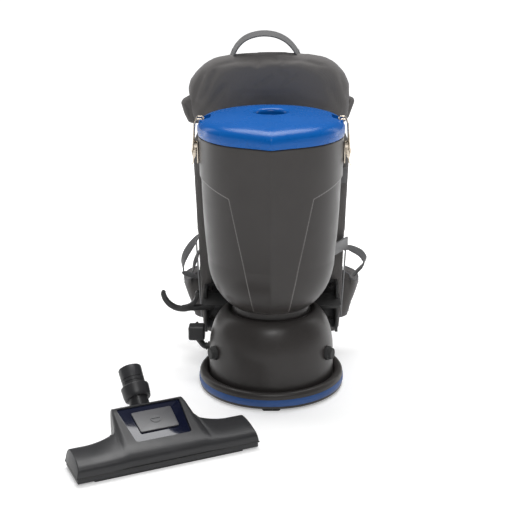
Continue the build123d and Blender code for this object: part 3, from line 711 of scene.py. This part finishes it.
# ------------------------------------------------------------------ rigid moulded and metal pieces
for name, width in (("tub_brackets", 1.0), ("cord_hook", 1.8), ("back_plate", 0.8),
                    ("rail_keepers", 0.8), ("ladder_locks", 0.8),
                    ("buckle_socket", 1.2), ("buckle_prongs", 1.0), ("base_feet", 0.6),
                    ("side_bumpers", 0.8), ("latch_bases", 0.35), ("latch_lever_right", 0.4),
                    ("latch_lever_left", 0.4), ("tool_sole", 0.8), ("tool_glides", 0.4),
                    ("inlet_plug", 2.5), ("neck_knuckle", 0.7)):
    softened(name, width * MM)


# ------------------------------------------------------------------ the base's band, lip and feet
BAND = [(126, 8.6), (127.6, 8.6), (128.6, 11), (128.9, 14.5), (128.6, 18), (127.6, 20.4), (126, 20.4)]
LIP = [(122, 3.2), (125.5, 3.2), (127.2, 4.6), (127.4, 8.4), (122, 8.4)]
FOOT_SHIFT = 8.5                 # the outer feet show under the lip


def turned(profile, steps=160):
    """A ring whose closed section is drawn in (radius, z), in millimetres."""
    angles = np.linspace(0, 2 * pi, steps, endpoint=False)
    rows = [[(r * cos(a), r * sin(a), z) for a in angles] for r, z in profile]
    verts, faces = grid(np.array(rows) * MM)
    return as_mesh("ring", verts, faces[:, ::-1], 30)


put(turned(BAND), "band_ring", "frame", "band_blue", replaces=["blue_band"])
put(turned(LIP), "base_lip", "frame", "shell_black")
feet = bpy.data.objects["base_feet_shape"].data
spots = coordinates(feet)
outward = np.round(spots[:, :2] / 0.11)
spots[:, :2] += np.sign(outward) * (np.abs(outward) > 0) * FOOT_SHIFT * MM
set_coordinates(feet, spots)


# ------------------------------------------------------------------ the yoke's padded hood
YOKE_LOW, YOKE_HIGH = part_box("yoke_cover")


def extruded(outline, y0, y1):
    """A closed slab whose outline is drawn in (x, z), in millimetres."""
    bm = bmesh.new()
    bottom = [bm.verts.new((x * MM, y0 * MM, z * MM)) for x, z in outline]
    top = [bm.verts.new((x * MM, y1 * MM, z * MM)) for x, z in outline]
    bm.faces.new(bottom)
    bm.faces.new(top[::-1])
    for i in range(len(outline)):
        j = (i + 1) % len(outline)
        bm.faces.new((bottom[j], bottom[i], top[i], top[j]))
    bmesh.ops.recalc_face_normals(bm, faces=bm.faces)
    bmesh.ops.triangulate(bm, faces=bm.faces)
    mesh = bpy.data.meshes.new("slab")
    bm.to_mesh(mesh)
    bm.free()
    return mesh


def crowned(mesh, outline, reach, middle, front_share=1.0, voxel=4 * MM):
    """Rounds a slab over towards its outline: within reach of it, the thickness falls away."""
    dense = with_modifiers(mesh, ("REMESH", {"mode": "VOXEL", "voxel_size": voxel}))
    co = coordinates(dense)
    dist, _ = line_distance(co[:, [0, 2]], np.array(outline) * MM, closed=True)
    t = np.clip(dist / (reach * MM), 0, 1)
    full = np.sqrt(np.clip(1 - (1 - t) ** 2, 0, 1))
    off = co[:, 1] - middle * MM
    share = np.where(off < 0, front_share, 1.0)
    co[:, 1] = middle * MM + off * (1 - share * (1 - np.maximum(full, 0.12)))
    set_coordinates(dense, co)
    return dense


def mirror_points(points):
    return [(-x, z) for x, z in reversed(points)]


HOOD = [(141, 492), (140, 510), (131, 529), (115, 546), (98, 556), (74, 562), (50, 565.5),
        (20, 567.5), (-9, 568), (-45, 566), (-76, 563), (-102, 556), (-119, 546), (-134, 532),
        (-147, 514), (-149.5, 498), (-147, 480), (-146, 462), (-143, 448), (-136, 439), (134, 439),
        (139, 448), (142, 466), (142.5, 480)]
LEFT_EAR = [(-128, 498), (-146, 491), (-159, 484), (-163, 477), (-157.5, 457), (-150, 441),
            (-140, 438), (-122, 440)]
RIGHT_EAR = [(126, 490), (140, 489), (149, 485.5), (150.5, 479), (145, 463), (140, 449),
             (130, 440), (118, 440)]


def hood_piece():
    mesh = crowned(extruded(HOOD, 133, 171), HOOD, 26, 160)
    mesh = puffed(mesh, 4.5 * MM, 4.0, 6 * MM)
    folds = [
        ([(-118, 538), (-130, 508), (-140, 474)], 5, 2.6),
        ([(-96, 540), (-112, 510), (-136, 468)], 6, 2.2),
        ([(-80, 512), (-100, 486), (-128, 456)], 6, 2.2),
        ([(-108, 522), (-122, 494), (-139, 480)], 4, -1.4),
        ([(122, 536), (130, 510), (138, 484)], 6, 1.8),
        ([(100, 512), (118, 482), (134, 460)], 8, 1.6),
        ([(20, 512), (34, 524), (46, 531)], 3.5, 1.0),
        ([(34, 524), (27, 533), (14, 538)], 3.5, 0.8),
        ([(-30, 512), (-10, 520), (4, 530)], 4, 0.7),
        ([(-60, 498), (-10, 492), (40, 498)], 9, 1.0),
        ([(-75, 472), (-20, 482), (40, 478), (88, 468)], 12, 1.6),
        ([(-100, 546), (-60, 554), (-9, 558), (52, 556), (96, 546)], 3.5, 1.4),
    ]
    mesh = creased(mesh, folds, facing=(0, -1, 0))
    back = [([(-120, 470), (-60, 500), (0, 506), (60, 500), (120, 470)], 4, 3.0),
            ([(0, 450), (0, 560)], 4, 3.0)]
    mesh = creased(mesh, back, facing=(0, 1, 0))
    hood = put(mesh, "yoke_hood", "frame", "pad_fabric", replaces=["yoke_cover"])
    ears = [with_modifiers(crowned(extruded(ear, 148, 166), ear, 9, 157, voxel=2.5 * MM),
                           ("SMOOTH", {"factor": 0.5, "iterations": 3}),
                           ("SUBSURF", {"levels": 1})) for ear in (LEFT_EAR, RIGHT_EAR)]
    flaps = creased(joined(*ears), [([(-160, 482), (-150, 470), (-146, 452)], 3, 1.6),
                                    ([(148, 483), (141, 470), (137, 454)], 3, 1.4)],
                    facing=(0, -1, 0))
    flaps = put(flaps, "hood_ears", "frame", "pad_fabric")


hood_piece()


# ------------------------------------------------------------------ back pad and lumbar pad
def side_profile(z):
    """Half width of the back pad at a height, in millimetres."""
    return float(np.interp(z, (34, 60, 117, 226, 370, 440), (114, 134, 137, 140, 146, 145)))


def pad_piece():
    right = [(108, 37), (122, 40), (130, 50), (132, 75)]
    right += [(side_profile(z) - 3, z) for z in (117, 170, 226, 300, 370, 405)] + [(132, 432)]
    outline = right + mirror_points(right)
    mesh = crowned(extruded(outline, 134.5, 157), outline, 16, 141, 0.4)
    mesh = puffed(mesh, 5.5 * MM, 3.0, 5 * MM)
    channels = [([(-112, 60), (-118, 200), (-120, 415)], 2.6, 4.5),
                ([(112, 60), (118, 200), (120, 415)], 2.6, 4.5),
                ([(0, 190), (0, 430)], 9, 9.0)]
    channels += [([(-116, z), (-20, z - 14)], 2.6, 4.0) for z in (250, 310, 370)]
    channels += [([(116, z), (20, z - 14)], 2.6, 4.0) for z in (250, 310, 370)]
    mesh = creased(mesh, channels, facing=(0, 1, 0))
    pad = put(mesh, "back_pad_cover", "frame", "pad_fabric", replaces=["back_pad"])


def lumbar_piece():
    right = [(80, 66), (97, 72), (104, 90), (104, 146), (97, 164), (80, 170)]
    outline = right + mirror_points(right)
    mesh = crowned(extruded(outline, 158.5, 173), outline, 14, 160, 0.3)
    mesh = puffed(mesh, 5 * MM, 3.0, 4 * MM)
    lines = [([(-92, z), (0, z + 3), (92, z)], 2.4, 3.2) for z in (96, 118, 140)]
    mesh = creased(mesh, lines, facing=(0, 1, 0))
    pad = put(mesh, "lumbar_pad_cover", "frame", "pad_mesh", replaces=["lumbar_pad"])


pad_piece()
lumbar_piece()


# ------------------------------------------------------------------ straps and wings
def padded_strap(line, across, widths, thickness, bend=0.0):
    """A foam-filled strap: crowned section, thin sewn edges, rounded ends. widths has one value
    for each point of the finished line."""
    tangent = np.gradient(line, axis=0)
    tangent /= np.linalg.norm(tangent, axis=1)[:, None]
    count = 28
    angles = np.linspace(0, 2 * pi, count, endpoint=False)
    rows = []
    last = len(line) - 1
    for i, (p, t) in enumerate(zip(line, tangent)):
        side = np.array(across, float)
        side -= (side @ t) * t
        side /= np.linalg.norm(side)
        up = np.cross(t, side)
        ends = min(i, last - i) / 4
        close = np.sqrt(max(0.02, 1 - max(0, 1 - ends) ** 2))
        w = widths[i] / 2 * (0.86 + 0.14 * close)
        h = thickness / 2 * close
        row = []
        for a in angles:
            u, v = cos(a), sin(a)
            flat = np.sign(u) * abs(u) ** 0.55
            crown = np.sign(v) * abs(v) ** 0.8 * (1 - 0.55 * abs(flat) ** 4)
            row.append(p + side * flat * w + up * (crown * h + bend * (flat ** 2) * w))
        rows.append(row)
    verts, faces = grid(np.array(rows), True, False)
    faces = [tuple(f) for f in faces]
    faces.append(tuple(range(count))[::-1])
    faces.append(tuple(range(len(verts) - count, len(verts))))
    mesh = as_mesh("strap", verts, faces, 0)
    return with_modifiers(mesh, ("SUBSURF", {"levels": 1}))


def edge_line(line, across, widths, share, lift=0.0):
    """The line that runs along a strap at a share of its half width."""
    tangent = np.gradient(line, axis=0)
    tangent /= np.linalg.norm(tangent, axis=1)[:, None]
    out = []
    for p, t, w in zip(line, tangent, widths):
        side = np.array(across, float)
        side -= (side @ t) * t
        side /= np.linalg.norm(side)
        out.append(p + side * share * w / 2 + np.cross(t, side) * lift)
    return np.array(out)


STRAP_YZ = [(176, 537), (193, 542.5), (212, 538), (232, 522), (247, 475), (250, 420), (243, 365),
            (229, 320)]


def shoulder_straps():
    pads, bindings, seams = [], [], []
    for side in (1, -1):
        centres = [57, 58, 60, 62, 64, 66, 67, 67]
        line = curve_points([(side * x, y, z) for x, (y, z) in zip(centres, STRAP_YZ)], 7) * MM
        widths = np.interp(np.linspace(0, 1, len(line)), (0, 0.3, 0.75, 1), (52, 60, 60, 44)) * MM
        mesh = padded_strap(line, (1, 0, 0), widths, 12 * MM)
        folds = [([(y, z)] * 1 + [(y + 14, z + 3)], 3, 0.0) for y, z in STRAP_YZ[:1]]
        pads.append(creased(mesh, folds, plane=(1, 2)))
        for share in (-0.985, 0.985):
            edge = edge_line(line, (1, 0, 0), widths, share)
            bindings.append(tube(edge[::3], 1.7 * MM, steps=3, sides=8))
        for share in (-0.80, 0.80):
            for lift in (4.2 * MM, -4.2 * MM):
                seams.append(stitches(edge_line(line, (1, 0, 0), widths, share, lift)[3:-3],
                                      6 * MM, 4 * MM, 0.4 * MM))
    straps = put(joined(*pads), "shoulder_strap_pads", "frame", "pad_fabric",
                 replaces=["shoulder_straps"])
    put(joined(*bindings), "shoulder_strap_binding", "frame", "webbing", "thread")
    put(joined(*seams), "shoulder_strap_stitching", "frame", "webbing", "thread")


WING = [(123, 167.5, 108), (134, 162, 106), (146, 162, 104), (153, 171, 105), (158, 198, 106),
        (154, 240, 107), (141, 270, 110)]
WING_LEAN = 0.33                 # the top edge stands this much further out than the bottom edge


def hip_wings():
    pads, bindings, seams = [], [], []
    for side in (1, -1):
        line = curve_points([(side * x, y, z) for x, y, z in WING], 7) * MM
        across = (WING_LEAN * side, 0, 1)
        widths = np.interp(np.linspace(0, 1, len(line)), (0, 0.18, 0.36, 0.52, 0.75, 1),
                           (96, 92, 80, 62, 56, 38)) * MM
        pads.append(padded_strap(line, across, widths, 10 * MM))
        for share in (-0.985, 0.985):
            edge = edge_line(line, across, widths, share)
            bindings.append(tube(edge[::3], 1.6 * MM, steps=3, sides=8))
        for share in (-0.78, 0.0, 0.78):
            for lift in (4.5 * MM, -4.5 * MM):
                seams.append(stitches(edge_line(line, across, widths, share, lift)[3:-4],
                                      6 * MM, 4 * MM, 0.4 * MM))
    wings = put(joined(*pads), "hip_wing_pads", "frame", "pad_fabric", replaces=["hip_wings"])
    put(joined(*bindings), "hip_wing_binding", "frame", "webbing", "thread")
    put(joined(*seams), "hip_wing_stitching", "frame", "webbing", "thread")


shoulder_straps()
hip_wings()


# ------------------------------------------------------------------ webbing
CARRY = [(-70, 560), (-66, 569), (-60, 579), (-50, 589), (-38, 595.5), (-22, 599.5), (-6, 600),
         (10, 597), (25, 590), (37, 579.5), (46, 567), (49, 560)]
CARRY_LEAN = 0.30                # the band's front edge lies this much lower than its back edge


def carry_handle():
    line = [(x * MM, 154.5 * MM, z * MM) for x, z in CARRY]
    across = [(CARRY_LEAN * sin(a), 1, CARRY_LEAN * cos(a))
              for a in np.linspace(-1.2, 1.1, len(CARRY))]
    strap = ribbon(line, 24 * MM, 2.8 * MM, across, 8)
    put(strap, "carry_handle", "frame", "webbing", replaces=["carry_loop"])
    tacks = []
    for x in (-71, 51):
        for y in (146, 163):
            tacks.append(stitches([(x * MM, y * MM, 566 * MM), (x * MM, y * MM, 574 * MM)],
                                  3 * MM, 2 * MM, 0.5 * MM, (1.4 * MM if x < 0 else -1.4 * MM, 0, 0)))
    put(joined(*tacks), "carry_handle_stitching", "frame", "webbing", "thread")


def harness_webbing():
    low, belt = [], []
    for side in (1, -1):
        drop = [(225, 310), (214, 285), (199, 246), (184, 208), (170, 178)]
        low.append(ribbon([(side * 64 * MM, y * MM, z * MM) for y, z in drop], 25 * MM, 2.2 * MM,
                          (1, 0, 0), 8))
        tail = [(229, 301), (232, 283), (228, 258), (231, 238)]
        low.append(ribbon([(side * 64 * MM, y * MM, z * MM) for y, z in tail], 25 * MM, 2.0 * MM,
                          (1, 0.06 * side, 0), 8))
        run = [(142, 268), (128, 284), (104, 295), (72, 301), (36, 302)]
        belt.append(ribbon([(side * x * MM, y * MM, 110 * MM) for x, y in run], 36 * MM, 2.2 * MM,
                           (0, 0, 1), 8))
    put(joined_uv(*low), "strap_tails", "frame", "webbing", replaces=["strap_webbing"])
    put(joined_uv(*belt), "belt_straps", "frame", "webbing", replaces=["belt_webbing"])


def joined_uv(*meshes):
    """Joins ribbons and keeps their weave coordinates."""
    objects = [temporary(m) for m in meshes]
    for obj in objects:
        obj.select_set(True)
    bpy.context.view_layer.objects.active = objects[0]
    with bpy.context.temp_override(active_object=objects[0], selected_editable_objects=objects):
        bpy.ops.object.join()
    mesh = objects[0].data.copy()
    bpy.data.objects.remove(objects[0])
    return mesh


def side_webbing():
    def strap(points, width, tilt, lean=0.62, y=148):
        line = [(x * MM, (y + 3 * sin(i * 1.3)) * MM, z * MM) for i, (x, z) in enumerate(points)]
        swing = np.linspace(0, pi, len(points))
        across = [(lean * sin(a) * cos(tilt), 1, lean * sin(a) * sin(tilt)) for a in swing]
        return ribbon(line, width * MM, 2.2 * MM, across, 8)
    right = strap([(134, 203), (145, 204), (156, 200.5), (168, 194), (175.5, 182), (172, 170),
                   (163, 159), (154, 150)], 19, 0.9)
    outer = strap([(-134, 228), (-142, 219), (-152, 206), (-161, 191), (-166, 175), (-165, 158)], 20, 2.6)
    inner = strap([(-134, 200), (-139, 188), (-144, 174), (-148, 157)], 11, 2.9)
    foot = strap([(-167, 154), (-160, 153), (-150, 150), (-136, 147)], 12, 1.6)
    put(joined_uv(right, outer, inner, foot), "side_straps", "frame", "webbing",
        replaces=["side_loops"])
    cords = [tube([(side * x * MM, (131.5) * MM, z * MM) for x, z in
                   ((131.5, 74), (133.5, 118), (136.2, 170), (139, 226))], 1.5 * MM, 8, 10)
             for side in (1, -1)]
    put(joined(*cords), "edge_piping", "frame", "webbing", "piping")


carry_handle()
harness_webbing()
side_webbing()


# ------------------------------------------------------------------ floor tool
TOOL_PLACE = Matrix.Translation((-0.1528, -0.3216, 0)) @ Matrix.Rotation(radians(24.6), 4, "Z")
TOOL_L, TOOL_DEPTH, HUMP_BACK, SPLIT_Z = 286, 68, 120, 12
END_PROFILE = [(0, 12), (0, 18), (1.2, 23.5), (5, 27.5), (12, 30.8), (22, 33.6), (36, 35.2),
               (50, 35), (60, 33), (65, 29), (67.6, 24), (68, 17), (68, 12)]
HUMP_PROFILE = [(1.2, 12), (1.2, 18), (2.4, 24), (6.5, 29), (15, 34), (28, 39), (54, 46.2),
                (80, 53.4), (101, 59.2), (111, 60), (117, 56), (120, 46), (120, 12)]
END_TOP, END_FLARE = 32, 4.5
RAKE = Matrix.Translation((0, 67 * MM, 49.3 * MM)) @ Matrix.Rotation(radians(16), 4, "X")


def flared(mesh, place=Matrix()):
    """Draws the tool's two ends outwards towards the floor."""
    co = coordinates(mesh)
    flat = np.array([place.inverted() @ Vector(p) for p in co]) / MM
    low = np.clip((END_TOP - flat[:, 2]) / (END_TOP - SPLIT_Z), 0, 1)
    flat[:, 0] += np.sign(flat[:, 0]) * END_FLARE * low * smoothstep((abs(flat[:, 0]) - 118) / 24)
    set_coordinates(mesh, [place @ Vector(p * MM) for p in flat])
    return mesh


def tapered_box(inset, z0, z1, radius, size=(53, 45, 41)):
    """A flat block in the plane of the window, wider at the back, with rounded edges."""
    back, front, half = [v - inset for v in size]
    bm = bmesh.new()
    corners = [(-back, half), (-front, -half), (front, -half), (back, half)]
    low = [bm.verts.new((x * MM, y * MM, z0 * MM)) for x, y in corners]
    high = [bm.verts.new((x * MM, y * MM, z1 * MM)) for x, y in corners]
    bm.faces.new(low[::-1])
    bm.faces.new(high)
    for k in range(4):
        bm.faces.new((low[k], low[(k + 1) % 4], high[(k + 1) % 4], high[k]))
    upright = [bm.edges.get((low[k], high[k])) for k in range(4)]
    bmesh.ops.bevel(bm, geom=upright, offset=radius * 4 * MM, segments=6, affect="EDGES",
                    profile=0.5)
    bmesh.ops.recalc_face_normals(bm, faces=bm.faces)
    mesh = bpy.data.meshes.new("pane")
    bm.to_mesh(mesh)
    bm.free()
    rounding = {"width": radius * MM, "segments": 3, "limit_method": "ANGLE",
                "angle_limit": radians(50)}
    mesh = with_modifiers(mesh, ("BEVEL", rounding))
    shade(mesh, 35)
    return mesh


def tool_shell():
    end, hump = np.array(END_PROFILE, float), np.array(HUMP_PROFILE, float)
    half = TOOL_L / 2
    reach = np.concatenate([np.linspace(0, 46, 10), np.linspace(48, 70, 23),
                            np.linspace(71.5, half - 2, 34), [half - 1.0, half - 0.3, half]])
    xs = np.concatenate([-reach[::-1], reach[1:]])
    rows = []
    flare = 9 + 27 * (1 - np.linspace(0, 1, len(end))) ** 1.6     # widest at the front
    for x in xs:
        away = abs(x)
        depth = smoothstep((58 + flare - away) / flare)
        swoop = 0.52 * np.clip((118 - away) / 56, 0, 1) ** 1.9
        rise = np.maximum(swoop, depth)
        profile = np.stack([end[:, 0] + (hump[:, 0] - end[:, 0]) * depth,
                            end[:, 1] + (hump[:, 1] - end[:, 1]) * rise], -1)
        inset = max(0.0, 1.4 - sqrt_safe(1.4 ** 2 - max(0, away - half + 1.4) ** 2))
        centre = np.array([30.0, 20.0])
        toward = centre - profile
        toward /= np.linalg.norm(toward, axis=1)[:, None]
        profile = profile + toward * inset
        smooth = curve_points(profile, 4)
        smooth[:, 1] = np.maximum(smooth[:, 1], SPLIT_Z)
        rows.append(np.stack([np.full(len(smooth), x), smooth[:, 0], smooth[:, 1]], -1))
    rows = np.array(rows)
    verts, faces = grid(rows, True, False)
    faces = [tuple(f) for f in faces]
    count = rows.shape[1]
    faces.append(tuple(range(count))[::-1])
    faces.append(tuple(range(len(verts) - count, len(verts))))
    mesh = as_mesh("tool", verts * MM, faces, 30)
    bm = bmesh.new()
    bm.from_mesh(mesh)
    bmesh.ops.recalc_face_normals(bm, faces=bm.faces)
    bm.to_mesh(mesh)
    bm.free()
    hollow = rounded_box((-128 * MM, 9 * MM, 5 * MM), (128 * MM, 52 * MM, 27 * MM), 4 * MM)
    hollow = combine(hollow, round_bar(15.6, -128, 128, 28, 16), "UNION")
    chamber = rounded_box((-48 * MM, 20 * MM, 5 * MM), (48 * MM, 112 * MM, 34 * MM), 4 * MM)
    mesh = combine(mesh, hollow, "DIFFERENCE")
    mesh = combine(mesh, chamber, "DIFFERENCE")
    recess = tapered_box(0, -4.2, 16, 1.2)
    recess.transform(RAKE)
    mesh = combine(mesh, recess, "DIFFERENCE")
    forks = []
    for side in (1, -1):
        x0, x1 = sorted((side * 27 * MM, side * 34 * MM))
        forks.append(rounded_box((x0, 112 * MM, 16 * MM), (x1, 138.5 * MM, 44 * MM), 1 * MM))
        round_end = round_bar(14, x0 / MM, x1 / MM, 138.5, 30)
        forks[-1] = combine(forks[-1], round_end, "UNION")
    for fork in forks:
        mesh = combine(mesh, fork, "UNION")
    flared(mesh).transform(TOOL_PLACE)
    shade(mesh, 32)
    put(mesh, "tool_shell", "floor_tool", "tool_black", replaces=["tool_body"])


def tool_seam_painted_shade():
    """A thin black slab between the body and the sole: painted shade standing in for the shadowed gap of
    the joint.
    """
    def slab(x, y0, y1, z0, z1, radius):
        return rounded_box((-x * MM, y0 * MM, z0 * MM), (x * MM, y1 * MM, z1 * MM), radius * MM)
    seam = combine(slab(143.3, -0.3, 68.2, 10.6, 12.3, 0.2), slab(61, 50, 119, 10.6, 12.3, 0.2), "UNION")
    for opening in (slab(136, 7, 56, 5, 20, 1), slab(56, 20, 112, 5, 20, 1)):
        seam = combine(seam, opening, "DIFFERENCE")
    flared(seam).transform(TOOL_PLACE)
    # Painted shade: the slab borrows the black bristle finish to darken the joint.
    put(seam, "tool_seam_painted_shade", "floor_tool", "rubber_black", "bristle")
    flared(bpy.data.objects["tool_sole_shape"].data, TOOL_PLACE)


def round_bar(radius, x0, x1, y, z, segments=64):
    """A cylinder along the tool, in millimetres."""
    bm = bmesh.new()
    place = Matrix.Translation(((x0 + x1) / 2 * MM, y * MM, z * MM)) @ Matrix.Rotation(pi / 2, 4, "Y")
    bmesh.ops.create_cone(bm, cap_ends=True, segments=segments, radius1=radius * MM,
                          radius2=radius * MM, depth=(x1 - x0) * MM, matrix=place)
    mesh = bpy.data.meshes.new("bar")
    bm.to_mesh(mesh)
    bm.free()
    return mesh


NECK = [(18.1, 25), (20.4, 25), (21.4, 26.2), (22.6, 33), (23.2, 46.6), (22.4, 48), (19.6, 48.6),
        (18.9, 49.4), (18.8, 53), (18, 53.5), (18, 54.5), (18.8, 55), (18.8, 59), (18, 59.5),
        (18, 60.5), (18.8, 61), (19.3, 79.6), (18.7, 81), (16.7, 81), (15.95, 80.2),
        (15.95, 46.5), (12, 46.5), (12, 34), (18.1, 34)]


def tool_neck():
    """Plain swivel cuff with two grooves and a wider lower sleeve."""
    neck = turned(NECK, 96)
    neck.transform(TOOL_PLACE @ Matrix.Translation((0, 138.5 * MM, 30 * MM)) @
                   Matrix.Rotation(radians(43 - 90), 4, "X"))
    put(neck, "neck_cuff", "neck", "tool_black", replaces=["neck_tube"])


def sqrt_safe(value):
    return max(0.0, value) ** 0.5


def tool_cover():
    """Tinted window with its rim, and the grey plate in its middle with a plain slotted screw."""
    tilt = TOOL_PLACE @ Matrix.Translation((0, 67 * MM, 48.6 * MM)) @ \
        Matrix.Rotation(radians(16), 4, "X")
    pane = tapered_box(0.5, -4.0, -1.6, 0.8)
    pane.transform(tilt)
    put(pane, "tool_pane", "floor_tool", "tool_window", replaces=["tool_window"])
    plate = tapered_box(0, -1.8, 1.2, 0.8, (33, 31.5, 23.5))
    plate.transform(Matrix.Translation((0, 3 * MM, 0)))
    head = bmesh.new()
    place = Matrix.Translation((0, 3 * MM, 1.4 * MM))
    bmesh.ops.create_cone(head, cap_ends=True, segments=40, radius1=9 * MM, radius2=8.3 * MM,
                          depth=1.2 * MM, matrix=place)
    button = bpy.data.meshes.new("button")
    head.to_mesh(button)
    head.free()
    slot = rounded_box((-7 * MM, 1.8 * MM, 1.0 * MM), (7 * MM, 4.2 * MM, 6 * MM), 0.4 * MM)
    button = combine(button, slot, "DIFFERENCE")
    both = joined(plate, button)
    both.transform(tilt)
    shade(both, 30)
    put(both, "tool_plate", "floor_tool", "tool_panel", replaces=["tool_panel"])


tool_shell()
tool_seam_painted_shade()
tool_cover()
tool_neck()


# ------------------------------------------------------------------ camera, floor and light
def studio():
    data = bpy.data.cameras.new("camera")
    data.lens, data.sensor_width = 79.45, 36
    data.shift_x = -0.0297
    camera = bpy.data.objects.new("camera", data)
    camera.location = (0, -1.87, 0.836)
    camera.rotation_euler = (radians(90 - 17.79), 0, 0)
    bpy.context.scene.collection.objects.link(camera)
    bpy.context.scene.camera = camera

    bm = bmesh.new()
    bmesh.ops.create_grid(bm, x_segments=1, y_segments=1, size=60)
    mesh = bpy.data.meshes.new("floor")
    bm.to_mesh(mesh)
    bm.free()
    floor = bpy.data.objects.new("floor", mesh)
    floor.location = (0, 0, -0.0004)
    bpy.context.scene.collection.objects.link(floor)
    white = Shader("floor", (0.80, 0.80, 0.80), 0.9, Specular_IOR_Level=0.0)
    # The floor glows, weakly within 0.45 m of the middle and rising to full strength at 1.6 m: painted
    # light that keeps the far floor white while contact shadows still show near the object.
    white.bsdf.inputs["Emission Color"].default_value = (1, 1, 1, 1)
    away = white.node("ShaderNodeVectorMath", {0: white.place}, operation="LENGTH")
    glow = white.ramp(away.outputs["Value"], 0.45, 1.6, 0.34, 1.0)
    white.tree.links.new(glow, white.bsdf.inputs["Emission Strength"])
    floor.data.materials.append(white.mat)

    world = bpy.data.worlds.new("world")
    bpy.context.scene.world = world
    world.use_nodes = True
    sky = world.node_tree.nodes["Background"]
    sky.inputs["Color"].default_value = (1, 1, 1, 1)
    sky.inputs["Strength"].default_value = 0.16

    for name, place, target, size, power in (
            ("top", (0.0, 0.55, 2.3), (0, -0.1, 0.2), (2.0, 1.1), 54),
            ("front", (0.15, -1.7, 2.1), (0, 0, 0.3), (0.8, 0.5), 22),
            ("left", (-1.35, 0.75, 0.75), (0, 0, 0.3), (0.30, 1.4), 3.5),
            ("right", (1.35, 0.75, 0.75), (0, 0, 0.3), (0.30, 1.4), 3.5)):
        lamp = bpy.data.lights.new(name, "AREA")
        lamp.shape, lamp.size, lamp.size_y, lamp.energy = "RECTANGLE", size[0], size[1], power
        obj = bpy.data.objects.new(name, lamp)
        obj.location = place
        aim = Vector(target) - Vector(place)
        obj.rotation_euler = aim.to_track_quat("-Z", "Y").to_euler()
        bpy.context.scene.collection.objects.link(obj)

    bpy.context.scene.view_settings.view_transform = "Standard"


studio()
